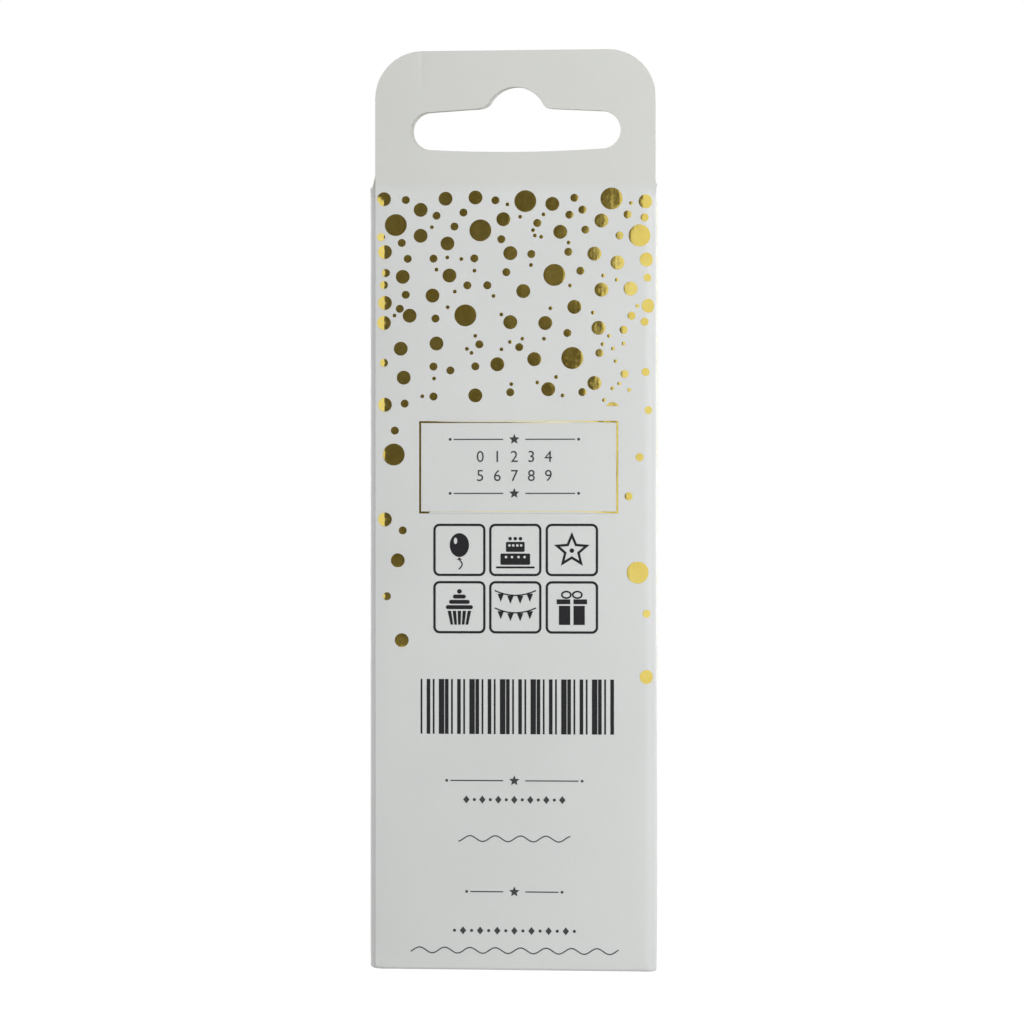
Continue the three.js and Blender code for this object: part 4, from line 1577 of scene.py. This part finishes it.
def digits(text, place, lift):
    """Plain digits in Blender's own font, centred, as a thin closed patch."""
    curve = bpy.data.curves.new("digits", "FONT")
    curve.body = text
    curve.align_x = "CENTER"
    curve.size = DIGIT_HEIGHT / DIGIT_SHARE
    curve.extrude = DIGIT_EXTRUDE
    curve.resolution_u = 3
    base = new_object("digits", curve)
    mesh = bpy.data.meshes.new_from_object(base.evaluated_get(bpy.context.evaluated_depsgraph_get()))
    bpy.data.objects.remove(base)
    work = bmesh.new()
    work.from_mesh(mesh)
    bmesh.ops.remove_doubles(work, verts=work.verts, dist=WELD)
    middle = DIGIT_HEIGHT / 2
    points = [place(v.co.x, v.co.y - middle, lift if v.co.z > 0 else -PRINT_SINK) for v in work.verts]
    faces = [tuple(v.index for v in face.verts) for face in work.faces]
    work.free()
    return points, faces


def print_object(name, parts, ink, body="carton"):
    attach(mesh_object(name, *joined(parts), [ink]), body)


def placed_dots():
    """The dots that the photograph shows, as ((along, z), radius)."""
    sizes = ((LARGE_DOTS_PX, LARGE_DOT), (MEDIUM_DOTS_PX, MEDIUM_DOT), (SMALL_DOTS_PX, SMALL_DOT))
    return [(px_to_panel(*place), radius) for places, radius in sizes for place in places]


def clear_of(dots, along, z, radius):
    return all(math.dist((along, z), place) > radius + other + CONFETTI_GAP for place, other in dots)


def by_window(along, z, radius):
    """Whether a dot would touch the window or its frame."""
    room = radius + WINDOW_FRAME_GAP + WINDOW_FRAME_ROOM
    beside = abs(along - FRONT_MIDDLE) < WINDOW_HALF + room
    return beside and WINDOW_FOOT - room < z < WINDOW_TOP + room


def wanted(along, z, radius, chance):
    """Whether a random dot suits its place on the sides and front. The chance is from 0 to 1."""
    thinning = (z - SPARSE_FOOT) / (DENSE_FOOT - SPARSE_FOOT)
    if z < DENSE_FOOT and chance > SPARSE_SHARE + THINNED_SHARE * thinning**3:
        return False
    return along >= RIGHT_START + radius and z <= CONFETTI_TOP - radius and not by_window(along, z, radius)


def scattered_dots(dots):
    """The dots given, and seeded random ones between them and round the carton's sides and front."""
    chance = random.Random(SLEEVE_SEED)
    dots = list(dots)
    cut_z = px_to_panel(0, CUT_LINE_PX)[1]
    for _ in range(CONFETTI_TRIES):
        along = chance.uniform(CONFETTI_MARGIN, LEFT_END - CONFETTI_MARGIN)
        z = chance.uniform(SPARSE_FOOT, CONFETTI_TOP)
        size = chance.random()
        keep = chance.random()
        if along < BACK_END:
            radius = TINY_DOT
            suits = z > cut_z + radius and size < TINY_SHARE
        else:
            radius = next(r for share, r in DOT_SHARES if size < share)
            suits = wanted(along, z, radius, keep)
        if suits and clear_of(dots, along, z, radius):
            dots.append(((along, z), radius))
    return dots


def confetti():
    """Foil dots on the sleeve. Those on the back end in a straight line above the foil frame."""
    cut_left, cut_z = px_to_panel(CUT_LEFT_PX, CUT_LINE_PX)
    cut_right, _ = px_to_panel(CUT_RIGHT_PX, CUT_LINE_PX)
    parts = []
    for (along, z), radius in scattered_dots(placed_dots()):
        if cut_left < along < cut_right and z - radius < cut_z:
            loop = above(oval(along, z, radius, radius), cut_z)
            if loop:
                parts.append(puck([loop], on_sleeve, FOIL_LIFT))
        else:
            parts.append(dot((along, z), radius, on_sleeve, FOIL_LIFT))
    print_object("foil_confetti", parts, FOIL)


def lid_confetti(path):
    """Foil dots on the flat of the top lid."""
    chance = random.Random(LID_SEED)
    dots = []
    for _ in range(LID_TRIES):
        radius = chance.choice(LID_DOTS)
        u = chance.uniform(radius - LID_HINGE_HALF, LID_HINGE_HALF - radius)
        v = chance.uniform(LID_WIDENING + radius, path.length - radius - LID_MARGIN)
        if clear_of(dots, u, v, radius + LID_GAP):
            dots.append(((u, v), radius))

    def on_lid(u, v, lift):
        return lengthwise(u, path.point(v, lift))

    print_object("foil_top_lid_confetti", [dot(*d, on_lid, FOIL_LIFT) for d in dots], FOIL, "top_lid")


def frame_and_ornaments():
    line = band(rectangle(*panel_box(*FRAME_PX)), FRAME_LINE)
    print_object("foil_frame", [puck(line, on_sleeve, FOIL_LIFT)], FOIL)

    grey = []
    for y in FRAME_ORNAMENTS_PX:
        grey += pucks(rule_ornament(FRAME_ORNAMENT_HALF), on_panel(PRINT_MIDDLE_PX, y), INK_LIFT)
    for y, text in DIGIT_ROWS_PX:
        grey.append(digits(text, on_panel(PRINT_MIDDLE_PX, y), INK_LIFT))
    kinds = (rule_ornament, dot_ornament, wave_ornament)
    for i, (y, half_px) in enumerate(ORNAMENT_ROWS_PX):
        shapes = kinds[i % len(kinds)](half_px / PX_PER_MM)
        grey += pucks(shapes, on_panel(PRINT_MIDDLE_PX, y), INK_LIFT)
    print_object("grey_digits_and_ornaments", grey, GREY_INK)


def motif_boxes():
    motifs = [balloon_motif, cake_motif, star_motif, cupcake_motif, bunting_motif, gift_motif]
    half = MOTIF_BOX / 2
    box = band(rounded_rectangle(-half, -half, half, half, MOTIF_CORNER), MOTIF_LINE)
    parts = []
    for i, motif in enumerate(motifs):
        row, column = divmod(i, len(MOTIF_COLUMNS_PX))
        place = on_panel(MOTIF_COLUMNS_PX[column], MOTIF_ROWS_PX[row])
        parts += pucks([box, *motif()], place, INK_LIFT)
    print_object("party_motif_boxes", parts, INK)


def stripe_block():
    """Plain upright stripes that stand for no code."""
    left, foot, right, top = panel_box(*STRIPES_PX)
    parts = []
    for i, along in enumerate(steps(left, right, STRIPE_STEP)[:-1]):
        stripe = rectangle(along, foot, along + STRIPE_WIDTHS[i % len(STRIPE_WIDTHS)], top)
        parts.append(puck([stripe], on_sleeve, INK_LIFT, STRIPE_PRINT_STEP))
    print_object("ink_stripes", parts, INK)


def window_frame():
    """A thin foil line round the window, and a foil ornament below it."""
    line = band(window_loop(WINDOW_FRAME_GAP), FRAME_LINE)
    below_window = about(FRONT_MIDDLE, FRONT_ORNAMENT_Z)
    parts = [puck(line, on_sleeve, FOIL_LIFT)]
    parts += pucks(rule_ornament(FRONT_ORNAMENT_HALF), below_window, FOIL_LIFT)
    print_object("foil_window_frame", parts, FOIL)


# Studio


def aimed(made, target, azimuth, elevation, distance):
    """Puts a lamp or camera at that distance from its target, looking at it."""
    a, e = math.radians(azimuth), math.radians(elevation)
    way = Vector((math.sin(a) * math.cos(e), -math.cos(a) * math.cos(e), math.sin(e)))
    made.location = target + distance * way
    made.rotation_euler = way.to_track_quat("Z", "Y").to_euler()


def camera():
    data = bpy.data.cameras.new("camera")
    data.lens = CAMERA_LENS
    data.sensor_width = 36
    data.clip_start = 0.01
    made = new_object("camera", data)
    aimed(made, MIDDLE + AIM, CAMERA_AZIMUTH, 0, CAMERA_DISTANCE)
    bpy.context.scene.camera = made


def lights():
    """Softboxes. The foil mirrors the pale studio and the dark card, and not the near lamps."""
    for name, (azimuth, elevation, distance, width, height, power, mirrored) in SOFTBOXES.items():
        data = bpy.data.lights.new(name, "AREA")
        data.shape = "RECTANGLE"
        data.size = width
        data.size_y = height
        data.energy = power
        made = new_object(name, data)
        made.visible_glossy = mirrored
        aimed(made, MIDDLE, azimuth, elevation, distance)


def seen_share(tree):
    """1 for rays that carry the background's own look: camera, glossy and transmission rays."""
    rays = add_node(tree, "ShaderNodeLightPath").outputs
    mirrored = calculated(tree, "MAXIMUM", rays["Is Camera Ray"], rays["Is Glossy Ray"])
    return calculated(tree, "MAXIMUM", mirrored, rays["Is Transmission Ray"])


def world():
    made = bpy.data.worlds.new("studio")
    bpy.context.scene.world = made
    made.use_nodes = True
    tree = made.node_tree
    background = tree.nodes["Background"]
    background.inputs["Color"].default_value = (1, 1, 1, 1)
    feed(tree, background.inputs["Strength"], ramp(tree, seen_share(tree), 0, 1, AMBIENT, 1.0))


def stage_plate(name, corners, surface):
    """A flat piece of the studio from its corners in metres."""
    mesh = bpy.data.meshes.new(name)
    mesh.from_pydata(corners, [], [(0, 1, 2, 3)])
    mesh.materials.append(surface)
    made = new_object(name, mesh)
    return made


def floor():
    surface, tree = material("pale_floor", (186, 186, 184), 0.6)
    shades = blend_colours(tree, mottle(tree, 60, 2), (183, 183, 181), (189, 189, 187))
    dressed(surface, Base_Color=shades)
    white = add_node(tree, "ShaderNodeEmission", Strength=FLOOR_WHITE)
    share = ramp(tree, seen_share(tree), 0, 1, 0, FLOOR_WHITE_SHARE)
    mixed = add_node(tree, "ShaderNodeMixShader", Fac=share)
    feed(tree, mixed.inputs[1], tree.nodes["Principled BSDF"].outputs[0])
    feed(tree, mixed.inputs[2], white.outputs[0])
    feed(tree, tree.nodes["Material Output"].inputs["Surface"], mixed.outputs[0])
    half = FLOOR_SIZE / 2
    made = stage_plate("floor", [(x, y, 0) for x, y in rectangle(-half, -half, half, half)], surface)
    made.location.z = -FLOOR_DROP


def dark_card():
    """A dark card behind the camera, seen only in reflections, as the foil in the photograph shows one."""
    surface, tree = material("dark_cloth", (100, 96, 90), 0.9)
    # painted light: paler upright bands stand for lit cloth folds, which the foil mirrors as glints
    painted_fold_light = mottle(tree, 38, 1, 0.48, 0.75, stretch=(1, 1, 0.4))
    cloth = blend_colours(tree, mottle(tree, 2, 2), (96, 91, 83), (106, 101, 92))
    dressed(surface, Base_Color=blend_colours(tree, painted_fold_light, cloth, (142, 136, 124)))
    made = stage_plate("dark_card", [(x, DARK_CARD_Y, z) for x, z in rectangle(*DARK_CARD)], surface)
    made.visible_camera = False
    made.visible_diffuse = False
    made.visible_transmission = False
    made.visible_shadow = False


camera()
world()
floor()
dark_card()
lights()
sleeve()
window_film()
closure("top")
closure("bottom")
insert_card()
candle()
wick()
pick()
confetti()
frame_and_ornaments()
motif_boxes()
stripe_block()
window_frame()

bpy.context.scene.view_settings.view_transform = "Standard"
